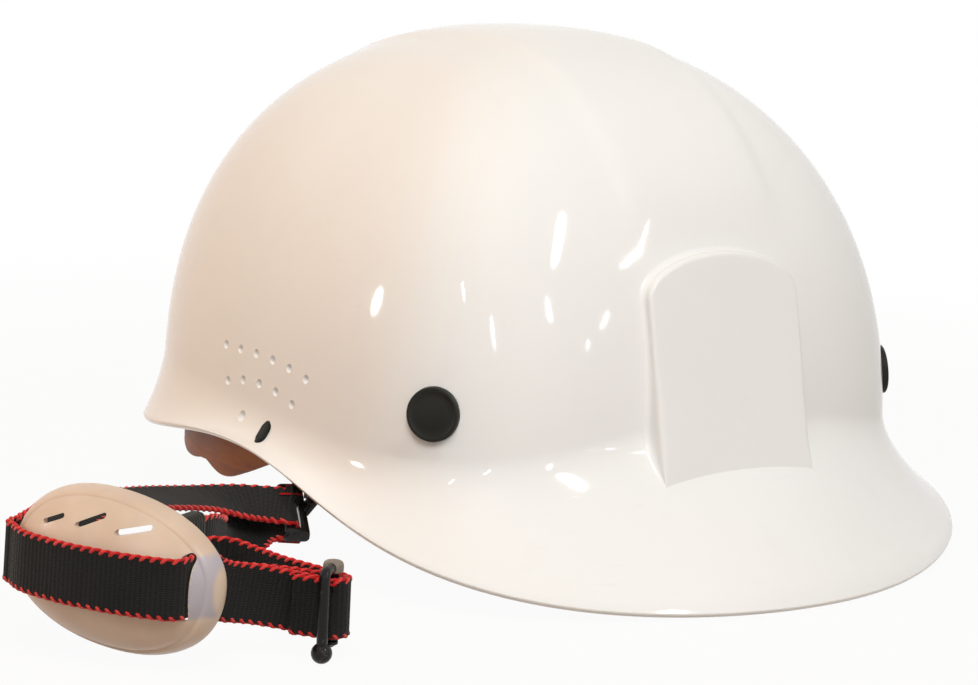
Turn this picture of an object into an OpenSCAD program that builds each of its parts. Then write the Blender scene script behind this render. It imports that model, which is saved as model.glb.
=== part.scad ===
/* [Shell] */
// Length of the dome ahead of its widest line, at the crease above the bill
dome_front = 91; // [86:0.5:100]
// Length of the dome behind its widest line, at the crease
dome_rear = 128.5; // [118:0.5:138]
// Half of the dome's width at the crease
dome_half_w = 101.5; // [96:0.5:108]
// Height of the crown over the table
crown_h = 156; // [148:0.5:166]
// How far the crown's highest point lies behind the widest line
crown_back = 5; // [0:0.5:10]
// Squareness of the front half of the outline, where 2 is an ellipse
square_front = 3.8; // [3:0.1:4.2]
// Squareness of the rear half of the outline
square_rear = 2.4; // [2.1:0.05:2.8]
// Thickness of the moulded shell
wall = 2.2; // [1.6:0.1:3]
// Reach of the bill past the dome, straight ahead
bill_front = 45; // [38:0.5:51]
// Reach of the bill at its corners
bill_corner = 24; // [18:0.5:28]
// Reach of the lip at the sides
lip_side = 8.5; // [6:0.5:11]
// Reach of the lip at the rear quarters
lip_quarter = 6.5; // [5:0.5:9]
// Reach of the lip at the back
lip_back = 7.5; // [5:0.5:10]

/* [Front pad] */
// Width of the raised flat pad
pad_w = 60; // [48:1:68]
// Height of the pad's foot over the table
pad_foot_z = 33; // [31:0.5:36]
// Height at which the pad's arched top starts
pad_shoulder_z = 84; // [74:1:90]
// Rise of the arched top
pad_arch = 13; // [8:0.5:18]
// Lean of the pad's face away from upright
pad_lean = 12; // [10:0.5:14]
// Reach of the pad's foot past the dome
pad_proud = 7.9; // [6.5:0.1:9]

/* [Side studs] */
// Radius of a stud's round head
stud_head_r = 7.8; // [6:0.1:9]
// Thickness of the head
stud_head_t = 2.2; // [1.6:0.1:3]
// Radius of the stud's shank
stud_shank_r = 3; // [2.5:0.1:4]
// Height of the studs over the table
stud_z = 51.6; // [50:0.1:55]
// Bearing of the studs, turned from straight ahead
stud_turn = 53.8; // [50:0.1:58]

/* [Side keys] */
// Width of a key's oblong head
key_w = 3.4; // [2.8:0.1:4]
// Height of the head
key_h = 7; // [6:0.1:8.5]
// Bearing of the keys, turned from straight ahead
key_turn = 89.5; // [87:0.5:91]

/* [Vent dimples] */
// Radius of a dimple
vent_r = 1.25; // [0.9:0.05:1.6]
// Depth of a dimple
vent_depth = 1.2; // [0.8:0.1:1.4]
// Spacing along a row
vent_pitch = 8.7; // [7:0.1:9.5]

/* [Headband] */
// Thickness of the band and of the nape straps
band_t = 1.6; // [1.2:0.1:2]
// Gap between the shell's inside and the nape straps
band_gap = 4.8; // [4:0.1:5.5]
// Height of the headband
band_h = 16; // [13:0.5:17]
// Thickness of the brow pad
brow_t = 3.6; // [2.5:0.1:5]
// Height of the nape straps' upper edge over the table
nape_top_z = 37; // [34:0.5:40]
// Radius of the size button's stem
button_stem_r = 2.4; // [2:0.1:2.8]
// Radius of the size button's head
button_head_r = 6; // [5:0.5:7]

/* [Crown straps] */
// Width of a crown strap
crown_w = 16; // [12:1:20]
// Thickness of a crown strap
crown_t = 1.2; // [1:0.1:1.6]
// Height of the straps' crossing over the table
crown_cross_z = 122; // [112:1:128]
// Radius of the crown pad
crown_pad_r = 24; // [18:1:30]
// Thickness of the crown pad
crown_pad_t = 4; // [3:0.5:6]

/* [Chin strap] */
// Width of the webbing
web_w = 16; // [14:0.5:17]
// Thickness of the webbing
web_t = 1.3; // [1:0.1:1.5]
// Half length of the chin cup
cup_half_l = 30.5; // [28:0.5:34]
// Half height of the chin cup
cup_half_h = 20.8; // [19:0.2:22]
// Depth of the chin cup
cup_depth = 15; // [12:0.5:18]
// Thickness of the chin cup
cup_wall = 1.8; // [1.4:0.1:2.2]
// Radius of the hooks' bars
bar_r = 1.5; // [1.2:0.1:1.6]
// Radius of the lug pins that the hooks hang on
lug_pin_r = 1.6; // [1.3:0.1:1.8]

/* [Hidden] */

// Running clearance of a pin in its eye, and the gap left between pieces that lie against each other
pin_gap = 0.08;
seat_gap = 0.3;

// How far in from the dome's outline the nape straps and the headband stand
nape_off = wall + band_gap;
head_off = nape_off + band_t + seat_gap;

// Shell: heights of the crease and of the lip's upper edge at 0, 45, 90, 135 and 180 degrees
edge_share = 0.7;
crease_z = [38.5, 29, 32, 37, 39];
edge_z = [wall * edge_share + 0.01, 9, 32, 24, 23];
lip_out = [bill_front, bill_corner, lip_side, lip_quarter, lip_back];
dome_side_power = 2.2;
dome_rise_power = 2.32;
fillet_rise = 11.5;
brow_pull = 1.6;
columns = 60;
dome_rows = 11;
lip_rows = 4;

function sum(v) = v * [for (i = v) 1];
function unit(v) = v / norm(v);
function reversed(v) = [for (i = [len(v) - 1:-1:0]) v[i]];
// Cosine series through five stations, 45 degrees apart
function series(v) = [for (k = [0:4]) (k % 4 == 0 ? 1 : 2) / 4
    * sum([for (j = [0:4]) (j % 4 == 0 ? 0.5 : 1) * v[j] * cos(45 * k * j)])];
function along(s, a) = sum([for (k = [0:4]) s[k] * cos(k * a)]);
crease_s = series(crease_z);
edge_s = series(edge_z);
lip_s = series(lip_out);

// Radius of the plan outline at bearing a, drawn in by off
function plan_r(a, off) = let(
    front = cos(a) > 0,
    n = front ? square_front : square_rear,
    l = (front ? dome_front : dome_rear) - off
) pow(pow(abs(cos(a)) / l, n) + pow(abs(sin(a)) / (dome_half_w - off), n), -1 / n);
function plan_pt(a, off, z) = [plan_r(a, off) * cos(a), plan_r(a, off) * sin(a), z];
// Point of the dome at bearing a and angle t down from the crown
function dome_pt(a, t, off) = let(
    r = plan_r(a, off) * pow(sin(t), 2 / dome_side_power),
    zc = along(crease_s, a)
) [r * cos(a) - crown_back * pow(cos(t), 2), r * sin(a),
    zc + (crown_h - off - zc) * pow(cos(t), 2 / dome_rise_power)];
// Angle t at which the dome reaches height z
function dome_t(a, z, off) = let(zc = along(crease_s, a))
    acos(pow((z - zc) / (crown_h - off - zc), dome_rise_power / 2));
function fillet_t(a, off) = dome_t(a, along(crease_s, a) + fillet_rise, off);
// Point of the fillet and lip at bearing a, s from 0 at the dome to 1 at the edge
function lip_pt(a, s, off) = let(
    zc = along(crease_s, a),
    top = dome_pt(a, fillet_t(a, off), off),
    drop = off * edge_share,
    b0 = [plan_r(a, off) * pow(sin(fillet_t(a, off)), 2 / dome_side_power), top[2]],
    b1 = [plan_r(a, off), zc - drop],
    b2 = [plan_r(a, 0) + along(lip_s, a) - drop, along(edge_s, a) - drop],
    k = [pow(1 - s, 2), 2 * s * (1 - s) * (1 + brow_pull * pow(max(0, cos(a)), 24)), s * s],
    b = (k[0] * b0 + k[1] * b1 + k[2] * b2) / sum(k)
) [b[0] * cos(a) - crown_back * pow(cos(fillet_t(a, off)), 2) * (1 - s), b[0] * sin(a), b[1]];

// Outward normals of the dome at bearing a and height z, and of the lip at s
function dome_n(a, z) = let(t = dome_t(a, z, 0))
    unit(cross(dome_pt(a, t + 0.5, 0) - dome_pt(a, t - 0.5, 0), dome_pt(a + 0.5, t, 0) - dome_pt(a - 0.5, t, 0)));
function lip_n(a, s) =
    unit(cross(lip_pt(a, s + 0.02, 0) - lip_pt(a, s - 0.02, 0), lip_pt(a + 0.5, s, 0) - lip_pt(a - 0.5, s, 0)));
// Outward normal of the plan outline at bearing a
function plan_n(a, off) = let(d = plan_pt(a + 0.5, off, 0) - plan_pt(a - 0.5, off, 0)) unit([d[1], -d[0], 0]);
// Bearing of the dome's point at length x and height z, on the left side
function bearing(x, z, a, k) = k == 0 ? a
    : let(p = dome_pt(a, dome_t(a, z, 0), 0), r = norm([p[0], p[1]])) bearing(x, z, acos(x / r), k - 1);

// Closed skin from rings of equal length, with a pole at either end
module skin(pole_a, rings, pole_b) {
    n = len(rings[0]);
    m = len(rings);
    pts = concat([pole_a], [for (r = rings) each r], [pole_b]);
    faces = concat(
        [for (i = [0:n - 1]) [0, 1 + (i + 1) % n, 1 + i]],
        [for (k = [0:m - 2]) for (i = [0:n - 1]) each let(a = 1 + k * n, b = a + n, j = (i + 1) % n)
            [[a + i, b + j, b + i], [a + i, a + j, b + j]]],
        [for (i = [0:n - 1]) let(a = 1 + (m - 1) * n) [1 + m * n, a + i, a + (i + 1) % n]]
    );
    polyhedron(points = pts, faces = faces, convexity = 8);
}
// Closed bar from a list of sections with four corners each
module loft(sections) {
    m = len(sections);
    pts = [for (s = sections) each s];
    e = 4 * (m - 1);
    faces = concat(
        [[0, 1, 2], [0, 2, 3], [e + 2, e + 1, e], [e + 3, e + 2, e]],
        [for (k = [0:m - 2]) for (i = [0:3]) each let(a = 4 * k, b = a + 4, j = (i + 1) % 4)
            [[a + i, b + i, b + j], [a + i, b + j, a + j]]]
    );
    polyhedron(points = pts, faces = faces, convexity = 8);
}
// Section of a standing strip at bearing a, from radius off to off + t, between two heights
function strip_at(a, off, t, low, high) =
    [plan_pt(a, off, low), plan_pt(a, off + t, low), plan_pt(a, off + t, high), plan_pt(a, off, high)];
// Smooth curve through the points, with m steps from each to the next
function curve(p, m) = concat([for (i = [0:len(p) - 2]) for (j = [0:m - 1]) let(
    t = j / m, b = p[i], c = p[i + 1],
    a = i > 0 ? p[i - 1] : 2 * b - c,
    d = i < len(p) - 2 ? p[i + 2] : 2 * c - b
) (2 * b + (c - a) * t + (2 * a - 5 * b + 4 * c - d) * t * t + (3 * b - a - 3 * c + d) * t * t * t) / 2], [p[len(p) - 1]]);
// Places children with +Z along a normal n at a point p
module on_normal(p, n) {
    translate(p) rotate([0, acos(n[2]), atan2(n[1], n[0])]) children();
}
// Places children at bearing a with +X outward, +Y along the plan outline and +Z up
module at_bearing(a, off) {
    n = plan_n(a, off);
    translate(plan_pt(a, off, 0)) rotate([0, 0, atan2(n[1], n[0])]) children();
}
module sided(side) {
    scale([1, side, 1]) children();
}
module rod(a, b, r) {
    on_normal(a, unit(b - a)) cylinder(r = r, h = norm(b - a), $fn = 32);
}

// Shell
bearings = [for (i = [0:columns - 1]) i * 360 / columns];
function dome_rings(off) = [for (k = [1:dome_rows])
    [for (a = bearings) dome_pt(a, fillet_t(a, off) * k / dome_rows, off)]];
function lip_rings(off, rows) = [for (k = rows) [for (a = bearings) lip_pt(a, k / lip_rows, off)]];
module shell_skin() {
    rows = [1:lip_rows];
    skin([-crown_back, 0, crown_h],
        concat(dome_rings(0), lip_rings(0, rows), reversed(lip_rings(wall, rows)), reversed(dome_rings(wall))),
        [-crown_back, 0, crown_h - wall]);
}
// The room under the shell, which trims what is moulded into it or lies against it
module shell_room(off) {
    skin([-crown_back, 0, crown_h - off], concat(dome_rings(off), lip_rings(off, [1:lip_rows])),
        [0, 0, -4 * dome_half_w]);
}
module pad_block() {
    half = pad_w / 2;
    face_h = (pad_shoulder_z - pad_foot_z) / cos(pad_lean);
    depth = 16;
    pad_root = 5;
    arch = [for (i = [0:12]) [half * cos(i * 15), face_h + pad_arch * sin(i * 15)]];
    translate([dome_front + pad_proud, 0, pad_foot_z]) rotate([90, 0, 90]) rotate([-pad_lean, 0, 0])
        translate([0, 0, -depth]) linear_extrude(depth)
            polygon(concat([[-half, -pad_root], [half, -pad_root]], arch));
}
seat_depth = 0.7;
stud_t = dome_t(stud_turn, stud_z, 0);
stud_p = dome_pt(stud_turn, stud_t, 0);
stud_n = dome_n(stud_turn, stud_z);
key_s = 0.47;
key_p = lip_pt(key_turn, key_s, 0);
key_n = lip_n(key_turn, key_s);
key_in = wall + 4.6;
// An oblong, as wide as w and as high as h
module oblong(w, h, t) {
    hull() for (k = [-1, 1]) translate([0, k * (h - w) / 2, 0]) cylinder(r = w / 2, h = t, $fn = 24);
}
module key_place() {
    translate(key_p) rotate([asin(key_n[2]) - 90, 0, 0]) children();
}
key_shank_w = key_w - 1;
key_shank_h = key_h - 3;
key_end = key_p - key_in * key_n;
row_one_z = 57.6;
row_two_z = 49;
vents = concat(
    [for (i = [0:5]) let(x = -26.3 + vent_pitch * i) [x, row_one_z - 1.65 * pow(max(0, x + 12) / 20, 2)]],
    [for (i = [0:4]) let(x = -23.2 + vent_pitch * i) [x, row_two_z - 2 * pow((x + 8) / 15, 2)]]
);
module vent_cuts() {
    for (v = vents) {
        a = bearing(v[0], v[1], 90, 4);
        on_normal(dome_pt(a, dome_t(a, v[1], 0), 0), dome_n(a, v[1]))
            translate([0, 0, -vent_depth]) cylinder(r = vent_r, h = vent_depth + 2, $fn = 16);
    }
    low_s = 0.36;
    low_a = 97;
    on_normal(lip_pt(low_a, low_s, 0), lip_n(low_a, low_s))
        translate([0, 0, -vent_depth]) cylinder(r = vent_r * 1.3, h = vent_depth + 2, $fn = 16);
}
// Lug inside the shell that takes the rear hanger's peg
rear_turn = 128;
rear_lug_z = 54;
rear_peg_r = 2.2;
lug_face = seat_gap + band_t + seat_gap;
module rear_lug() {
    at_bearing(rear_turn, head_off) translate([lug_face, -5, rear_lug_z - 5]) cube([head_off - lug_face - wall * 1.2, 10, 10]);
}
module shell() {
    color("white")
    difference() {
        union() {
            shell_skin();
            difference() {
                pad_block();
                shell_room(wall * 0.5);
            }
            for (side = [-1, 1]) sided(side) rear_lug();
        }
        for (side = [-1, 1]) sided(side) {
            on_normal(stud_p, stud_n) {
                translate([0, 0, -seat_depth]) cylinder(r = stud_head_r + 0.2, h = 6, $fn = 48);
                translate([0, 0, -9]) cylinder(r = stud_shank_r + pin_gap, h = 12, $fn = 32);
            }
            key_place() {
                translate([0, 0, -0.5]) oblong(key_w + 0.5, key_h + 0.5, 4);
                translate([0, 0, -5]) oblong(key_shank_w + 2 * pin_gap, key_shank_h + 2 * pin_gap, 8);
            }
            vent_cuts();
            at_bearing(rear_turn, head_off) translate([seat_gap, 0, rear_lug_z]) rotate([0, 90, 0])
                cylinder(r = rear_peg_r + pin_gap, h = lug_face + 3, $fn = 24);
        }
    }
}

// Side studs, retainers and keys
stud_floor = -seat_depth;
retainer_r = stud_shank_r + 2.4;
retainer_t = 1.8;
plate_n = plan_n(stud_turn, head_off);
plate_p = plan_pt(stud_turn, head_off - seat_gap, stud_z);
// Depth of the hanger plate's inner face along the stud, and of the retainer's near face
plate_depth = ((stud_p - plate_p) * plate_n) / (stud_n * plate_n);
retainer_depth = plate_depth + seat_gap + retainer_r * norm(cross(stud_n, plate_n));
stud_len = retainer_depth + retainer_t + 0.6 + stud_floor;
module side_stud(side) {
    color("black")
    sided(side) on_normal(stud_p, stud_n) {
        rotate_extrude($fn = 64) polygon([
            [0, stud_floor], [stud_head_r, stud_floor], [stud_head_r, stud_floor + stud_head_t - 0.3],
            [stud_head_r - 0.3, stud_floor + stud_head_t], [stud_head_r - 1.1, stud_floor + stud_head_t],
            [stud_head_r - 1.5, stud_floor + stud_head_t - 0.6], [0, stud_floor + stud_head_t - 0.45]
        ]);
        translate([0, 0, stud_floor - stud_len]) cylinder(r = stud_shank_r, h = stud_len, $fn = 32);
    }
}
module stud_retainer(side) {
    color("dimgray")
    sided(side) on_normal(stud_p, stud_n) translate([0, 0, -retainer_depth - retainer_t])
        difference() {
            cylinder(r = retainer_r, h = retainer_t, $fn = 40);
            translate([0, 0, -1]) cylinder(r = stud_shank_r + pin_gap, h = 4, $fn = 32);
        }
}
module side_key(side) {
    color("black")
    sided(side) key_place() {
        translate([0, 0, -0.5]) oblong(key_w, key_h, 1.7);
        translate([0, 0, -key_in]) oblong(key_shank_w, key_shank_h, key_in - 0.5);
    }
}

// Headband, brow pad and nape straps
head_end = 136;
// Height of the headband's lower edge from the front round to the rear, at every 45 degrees
band_front_z = 41;
band_fore_z = 27.5;
band_side_z = 28;
band_aft_z = 24;
band_rear_z = 22;
band_low = series([band_front_z, band_fore_z, band_side_z, band_aft_z, band_rear_z]);
module headband() {
    color("saddlebrown")
    difference() {
        loft([for (a = [-head_end:4:head_end]) let(low = along(band_low, a))
            strip_at(a, head_off, band_t, low, low + band_h)]);
        for (side = [-1, 1]) sided(side) nape_cuts(rivet_r + pin_gap);
    }
}
brow_turn = 44;
module brow_pad() {
    color("dimgray")
    loft([for (a = [-brow_turn:4:brow_turn]) let(low = along(band_low, a), end = abs(a) > brow_turn - 5 ? 2 : 0)
        strip_at(a, head_off + band_t + seat_gap, brow_t, low - 3 + end, low + band_h + 2 - end)]);
}
// Lower edge of the right nape strap: bearing, and height as a share of its upper edge's
nape_edge = [
    [90, 0.719], [93, 0.665], [102, 0.503], [109, 0.389], [112, 0.368], [115, 0.378], [118, 0.422],
    [121, 0.449], [126, 0.389], [131, 0.368], [135, 0.381], [139, 0.405], [144, 0.324], [150, 0.149],
    [155, 0.043], [159, 0], [180, 0], [186, 0], [192, 0.081]
];
function nape_low(a) = max(0.01, nape_top_z * lookup(a, nape_edge));
nape_drop = 9;
function nape_high(a) = let(k = max(0, (a - 160) / 20)) nape_top_z - nape_drop * min(1, k) - (a > 188 ? nape_drop / 3 : 0);
nape_bearings = [92.5, 97.5, 102, 105.5, 109, 112, 115, 118, 121, 126, 131, 135, 139, 144, 147, 150, 155,
    159, 164, 170, 175, 180, 186, 192];
function nape_section(a, side, off, lift) =
    [for (p = strip_at(a, off, band_t, nape_low(a) + lift, nape_high(a))) [p[0], side * p[1], p[2]]];
nape_rivet_at = [104, 126];
nape_rivet_z = 31;
rivet_r = 1.5;
module nape_cuts(r) {
    for (a = nape_rivet_at) at_bearing(a, nape_off)
        translate([-2 * band_t - seat_gap - 2, 0, nape_rivet_z]) rotate([0, 90, 0]) cylinder(r = r, h = 12, $fn = 20);
}
button_z = 14;
module nape_strap_right() {
    color("saddlebrown")
    difference() {
        loft([for (a = nape_bearings) nape_section(a, -1, nape_off, 0)]);
        sided(-1) nape_cuts(rivet_r + pin_gap);
        button_hole(0);
    }
}
module button_hole(slot) {
    for (k = [-1, 1]) if (slot > 0 || k > 0)
        translate([-dome_rear - 4, k * slot, button_z]) rotate([0, 90, 0])
            cylinder(r = button_stem_r + pin_gap, h = 20, $fn = 32);
}
// The left strap steps inward at the back, where it passes inside the right one
function nape_step(a) = nape_off + (band_t + seat_gap) * min(1, max(0, (a - 146) / 14));
module nape_strap_left() {
    color("saddlebrown")
    difference() {
        loft([for (a = reversed(nape_bearings)) reversed(nape_section(a, 1, nape_step(a), 0.4))]);
        nape_cuts(rivet_r + pin_gap);
        button_hole(0);
        for (k = [-2, -1, 1, 2]) translate([-dome_rear - 4, k * 9, button_z]) rotate([0, 90, 0])
            cylinder(r = button_stem_r + pin_gap, h = 20, $fn = 32);
    }
}
module nape_rivets() {
    color("saddlebrown")
    for (side = [-1, 1]) sided(side) for (a = nape_rivet_at) at_bearing(a, nape_off)
        translate([0, 0, nape_rivet_z]) rotate([0, 90, 0]) {
            translate([0, 0, 0.15]) cylinder(r = rivet_r + 1.6, h = 1, $fn = 32);
            translate([0, 0, -2 * band_t - 0.7]) cylinder(r = rivet_r, h = 2 * band_t + 1, $fn = 20);
        }
}
module size_button() {
    button_x = -(dome_rear - nape_off);
    color("saddlebrown")
    translate([button_x, 0, button_z]) rotate([0, -90, 0]) {
        translate([0, 0, seat_gap]) cylinder(r = button_head_r, h = 2, $fn = 48);
        translate([0, 0, -2 * band_t - 0.9]) cylinder(r = button_stem_r, h = 2 * band_t + 1.4, $fn = 32);
        translate([0, 0, -2 * band_t - 2.2]) cylinder(r = button_stem_r + 1.4, h = 1.5, $fn = 32);
    }
}

// Hangers between the headband and the shell
hang_w = 13;
side_hang_w = 8;
hook_w = 8;
hook_room = 0.7;
module hanger_clip(a, w, from, top) {
    rim = max(along(band_low, a - 4), along(band_low, a + 4)) + band_h;
    hook_in = -2 * band_t - hook_room;
    at_bearing(a, head_off) {
        translate([seat_gap, -w / 2, from]) cube([band_t, w, top - from]);
        translate([hook_in, -hook_w / 2, rim + seat_gap]) cube([3 * band_t + seat_gap + hook_room, hook_w, band_t]);
        translate([hook_in, -hook_w / 2, rim - 5]) cube([band_t, hook_w, 5 + seat_gap + 0.1]);
    }
}
module front_hanger(side) {
    color("dimgray")
    sided(side) difference() {
        hanger_clip(stud_turn, hang_w, along(band_low, stud_turn) + 5, stud_z + 15);
        on_normal(stud_p, stud_n) translate([0, 0, -20]) cylinder(r = stud_shank_r + pin_gap, h = 22, $fn = 32);
    }
}
module side_hanger(side) {
    color("dimgray")
    sided(side) difference() {
        union() {
            hanger_clip(key_turn, side_hang_w, key_end[2] - 3.2, along(band_low, key_turn) + band_h + 1);
            at_bearing(key_turn, head_off) translate([seat_gap, -side_hang_w / 2, key_end[2] - 3.2])
                cube([key_end[1] - plan_r(key_turn, head_off) + 2.1, side_hang_w, 6.4]);
        }
        key_place() translate([0, 0, -key_in - 0.3]) oblong(key_shank_w + 2 * pin_gap, key_shank_h + 2 * pin_gap, 12);
    }
}
module rear_hanger(side) {
    color("dimgray")
    sided(side) {
        hanger_clip(rear_turn, hang_w, nape_top_z + 0.6, rear_lug_z + 7);
        at_bearing(rear_turn, head_off) translate([seat_gap, 0, rear_lug_z]) rotate([0, 90, 0])
            cylinder(r = rear_peg_r, h = lug_face + 1.8, $fn = 24);
    }
}

// Crown straps: from a front hanger over the crossing to the rear hanger on the other side
cross_front = plan_pt(stud_turn, head_off + crown_t / 2, 0);
cross_rear = plan_pt(rear_turn, head_off + crown_t / 2, 0);
cross_x = (cross_front[0] * cross_rear[1] + cross_rear[0] * cross_front[1]) / (cross_rear[1] + cross_front[1]);
crown_front_z = stud_z + retainer_r + 2;
crown_rear_z = rear_lug_z - 7;
// Half a strap, as sections from its end in the plan to the crossing
function crown_half(end, end_n, end_z, side, lift) = let(
    mid = [cross_x, 0],
    e = [end[0], side * end[1]],
    d = e - mid,
    across = [-d[1], d[0], 0] / norm(d),
    turned = [-side * end_n[1], end_n[0], 0],
    w_end = turned * across > 0 ? turned : -turned,
    top = crown_cross_z + lift
) [for (i = [10:-1:0]) let(
    k = 1 - pow(1 - i / 10, 1.7),
    at = [mid[0] + d[0] * k, mid[1] + d[1] * k, end_z + (top - end_z) * pow(1 - pow(k, 2.6), 0.5)],
    w = unit((1 - k * k) * across + k * k * w_end),
    slope = i == 10 ? 1e6 : (top - end_z) * 1.3 * pow(k, 1.6) / pow(1 - pow(k, 2.6), 0.5) / norm(d),
    along_d = unit([d[0], d[1], -slope * norm(d)]),
    n = unit(cross(along_d, w))
) section_at(at, w, n, crown_w, crown_t)];
function section_at(at, w, n, width, thick) = [
    at - w * width / 2 - n * thick / 2, at + w * width / 2 - n * thick / 2,
    at + w * width / 2 + n * thick / 2, at - w * width / 2 + n * thick / 2
];
module crown_strap(side, lift) {
    front = crown_half(cross_front, plan_n(stud_turn, head_off), crown_front_z, side, lift);
    rear = crown_half(cross_rear, plan_n(rear_turn, head_off), crown_rear_z, -side, lift);
    difference() {
        loft(concat(front, [for (i = [9:-1:0]) let(s = rear[i]) [s[1], s[0], s[3], s[2]]]));
        translate([cross_x, 0, crown_cross_z - 20]) cylinder(r = crown_rivet_r + pin_gap, h = 40, $fn = 24);
    }
}
crown_rivet_r = 2;
pad_top = crown_cross_z - crown_t - seat_gap - 0.9;
module crown_strap_upper() {
    color("dimgray")
    crown_strap(-1, crown_t + seat_gap);
}
module crown_strap_lower() {
    color("dimgray")
    crown_strap(1, 0);
}
module crown_pad() {
    color("gray")
    translate([cross_x, 0, pad_top - crown_pad_t]) difference() {
        cylinder(r = crown_pad_r, h = crown_pad_t, $fn = 64);
        translate([0, 0, -1]) cylinder(r = crown_rivet_r + pin_gap, h = crown_pad_t + 2, $fn = 24);
    }
}
module crown_rivet() {
    top = crown_cross_z + crown_t * 1.5 + seat_gap;
    color("dimgray")
    translate([cross_x, 0, 0]) {
        translate([0, 0, pad_top - crown_pad_t - 0.6]) cylinder(r = crown_rivet_r, h = top - pad_top + crown_pad_t + 1, $fn = 24);
        translate([0, 0, top + 0.15]) cylinder(r = crown_rivet_r + 3, h = 1.2, $fn = 32);
        translate([0, 0, pad_top - crown_pad_t - 1.5]) cylinder(r = crown_rivet_r + 3, h = 1.2, $fn = 32);
    }
}

// Chin strap, laid out from the right lug's pin: its points count y from the pin
lug_x = 29;
lug_out = 0.5;
lug_y = dome_half_w + lug_out;
lug_z = 23;
function from_lug(p) = [p[0], p[1] - lug_y, p[2]];
eye_r = lug_pin_r + pin_gap + 1.2;
eye_w = 6.6;
lug_pin = [lug_x, -lug_y, lug_z];
cap_bar = from_lug([26.7, -10.2, 17.2]);
cap_bar_dir = unit([-0.8, 0.4, 0.45]);
cap_run = unit([-0.447, -0.894, 0]);
web_n = unit(cross(cap_bar_dir, cap_run));
cup_at = from_lug([84.5, -109.5, 23.4]);
cup_turn = 28;
cup_roll = 2;
cup_mid = 2;
cup_skew = 0.14;
cup_power = 2.15;
cup_rim = -9;
cup_flat = 2.4;
free_bar = from_lug([108.4, -52.7, 13.4]);
bar_len = web_w + 2 * seat_gap;

function signed_pow(x, e) = sign(x) * pow(abs(x), e);
cup_u = [cos(cup_turn) * cos(cup_roll), sin(cup_turn) * cos(cup_roll), -sin(cup_roll)];
cup_v = [cos(cup_turn) * sin(cup_roll), sin(cup_turn) * sin(cup_roll), cos(cup_roll)];
cup_w = [sin(cup_turn), -cos(cup_turn), 0];
function cup_pt(u, v, w) = cup_at + u * cup_u + v * cup_v + w * cup_w;
// Rise of the cup's face over its rim, at rho from 0 in the middle to 1 at the rim
function cup_rise(rho, deep) = deep * pow(1 - pow(min(1, rho), cup_flat), 0.5);
function cup_face(u) = cup_rim + cup_rise(abs(u - cup_mid) / cup_half_l, cup_depth);
function cup_ring(rho, inset) = [for (i = [0:39]) let(
    c = signed_pow(cos(i * 9), 2 / cup_power),
    s = signed_pow(sin(i * 9), 2 / cup_power)
) cup_pt(cup_mid + rho * (cup_half_l - inset) * c, rho * (cup_half_h - inset) * (s - cup_skew * abs(s) * c),
    cup_rim + cup_rise(rho, cup_depth - inset))];
cup_rhos = [0.25, 0.48, 0.66, 0.8, 0.9, 0.96, 0.99, 1];

module chin_lug(side) {
    half = eye_w / 2 + seat_gap;
    base_z = lug_z + eye_r + seat_gap;
    color("white")
    sided(side) translate([lug_x, lug_y, 0]) {
        intersection() {
            union() {
                for (k = [-1, 1]) translate([k * (half + 1) - 1, -4, lug_z - 3]) cube([2, 6, 20]);
                translate([-half - 1, -4, base_z]) cube([2 * half + 2, 8, 14]);
            }
            translate([-lug_x, -lug_y, 0]) shell_room(wall + 0.3);
        }
        translate([-half - 1, 0, lug_z]) rotate([0, 90, 0]) cylinder(r = lug_pin_r, h = 2 * half + 2, $fn = 32);
    }
}

// Cap hook: a loop of flat arms with a round bar for the webbing, and an eye on the lug's pin
arm_r = bar_r - 0.5;
arm_w = 4;
arm_out = bar_len / 2 + arm_r + 0.7;
arm_rise = bar_r + web_t + 2 * seat_gap + arm_r + 0.1;
tongue_w = 4;
tongue_t = 2.4;
module cap_hook() {
    rear = cap_bar - arm_rise * cap_run - lug_pin;
    color("black") {
        rod(cap_bar - arm_out * cap_bar_dir, cap_bar + arm_out * cap_bar_dir, bar_r);
        multmatrix([for (i = [0:2]) [cap_bar_dir[i], cap_run[i], web_n[i], cap_bar[i]]]) {
            for (k = [-1, 1]) translate([k * arm_out - arm_r, -arm_rise - arm_r, -arm_w / 2])
                cube([2 * arm_r, arm_rise + 3 * arm_r, arm_w]);
            translate([-arm_out, -arm_rise - arm_r, -arm_w / 2 + 0.4]) cube([2 * arm_out, 2 * arm_r, arm_w - 0.8]);
        }
        difference() {
            union() {
                translate(lug_pin - [eye_w / 2, 0, 0]) rotate([0, 90, 0]) cylinder(r = eye_r, h = eye_w, $fn = 40);
                translate(lug_pin) rotate([atan2(rear[2], rear[1]) + 180, 0, 0])
                    translate([-tongue_w / 2, arm_r - norm(rear), -tongue_t / 2])
                    cube([tongue_w, norm(rear) - arm_r - lug_pin_r - 0.5, tongue_t]);
            }
            translate(lug_pin - [eye_w, 0, 0]) rotate([0, 90, 0])
                cylinder(r = lug_pin_r + pin_gap, h = 2 * eye_w, $fn = 32);
        }
    }
}

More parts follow.
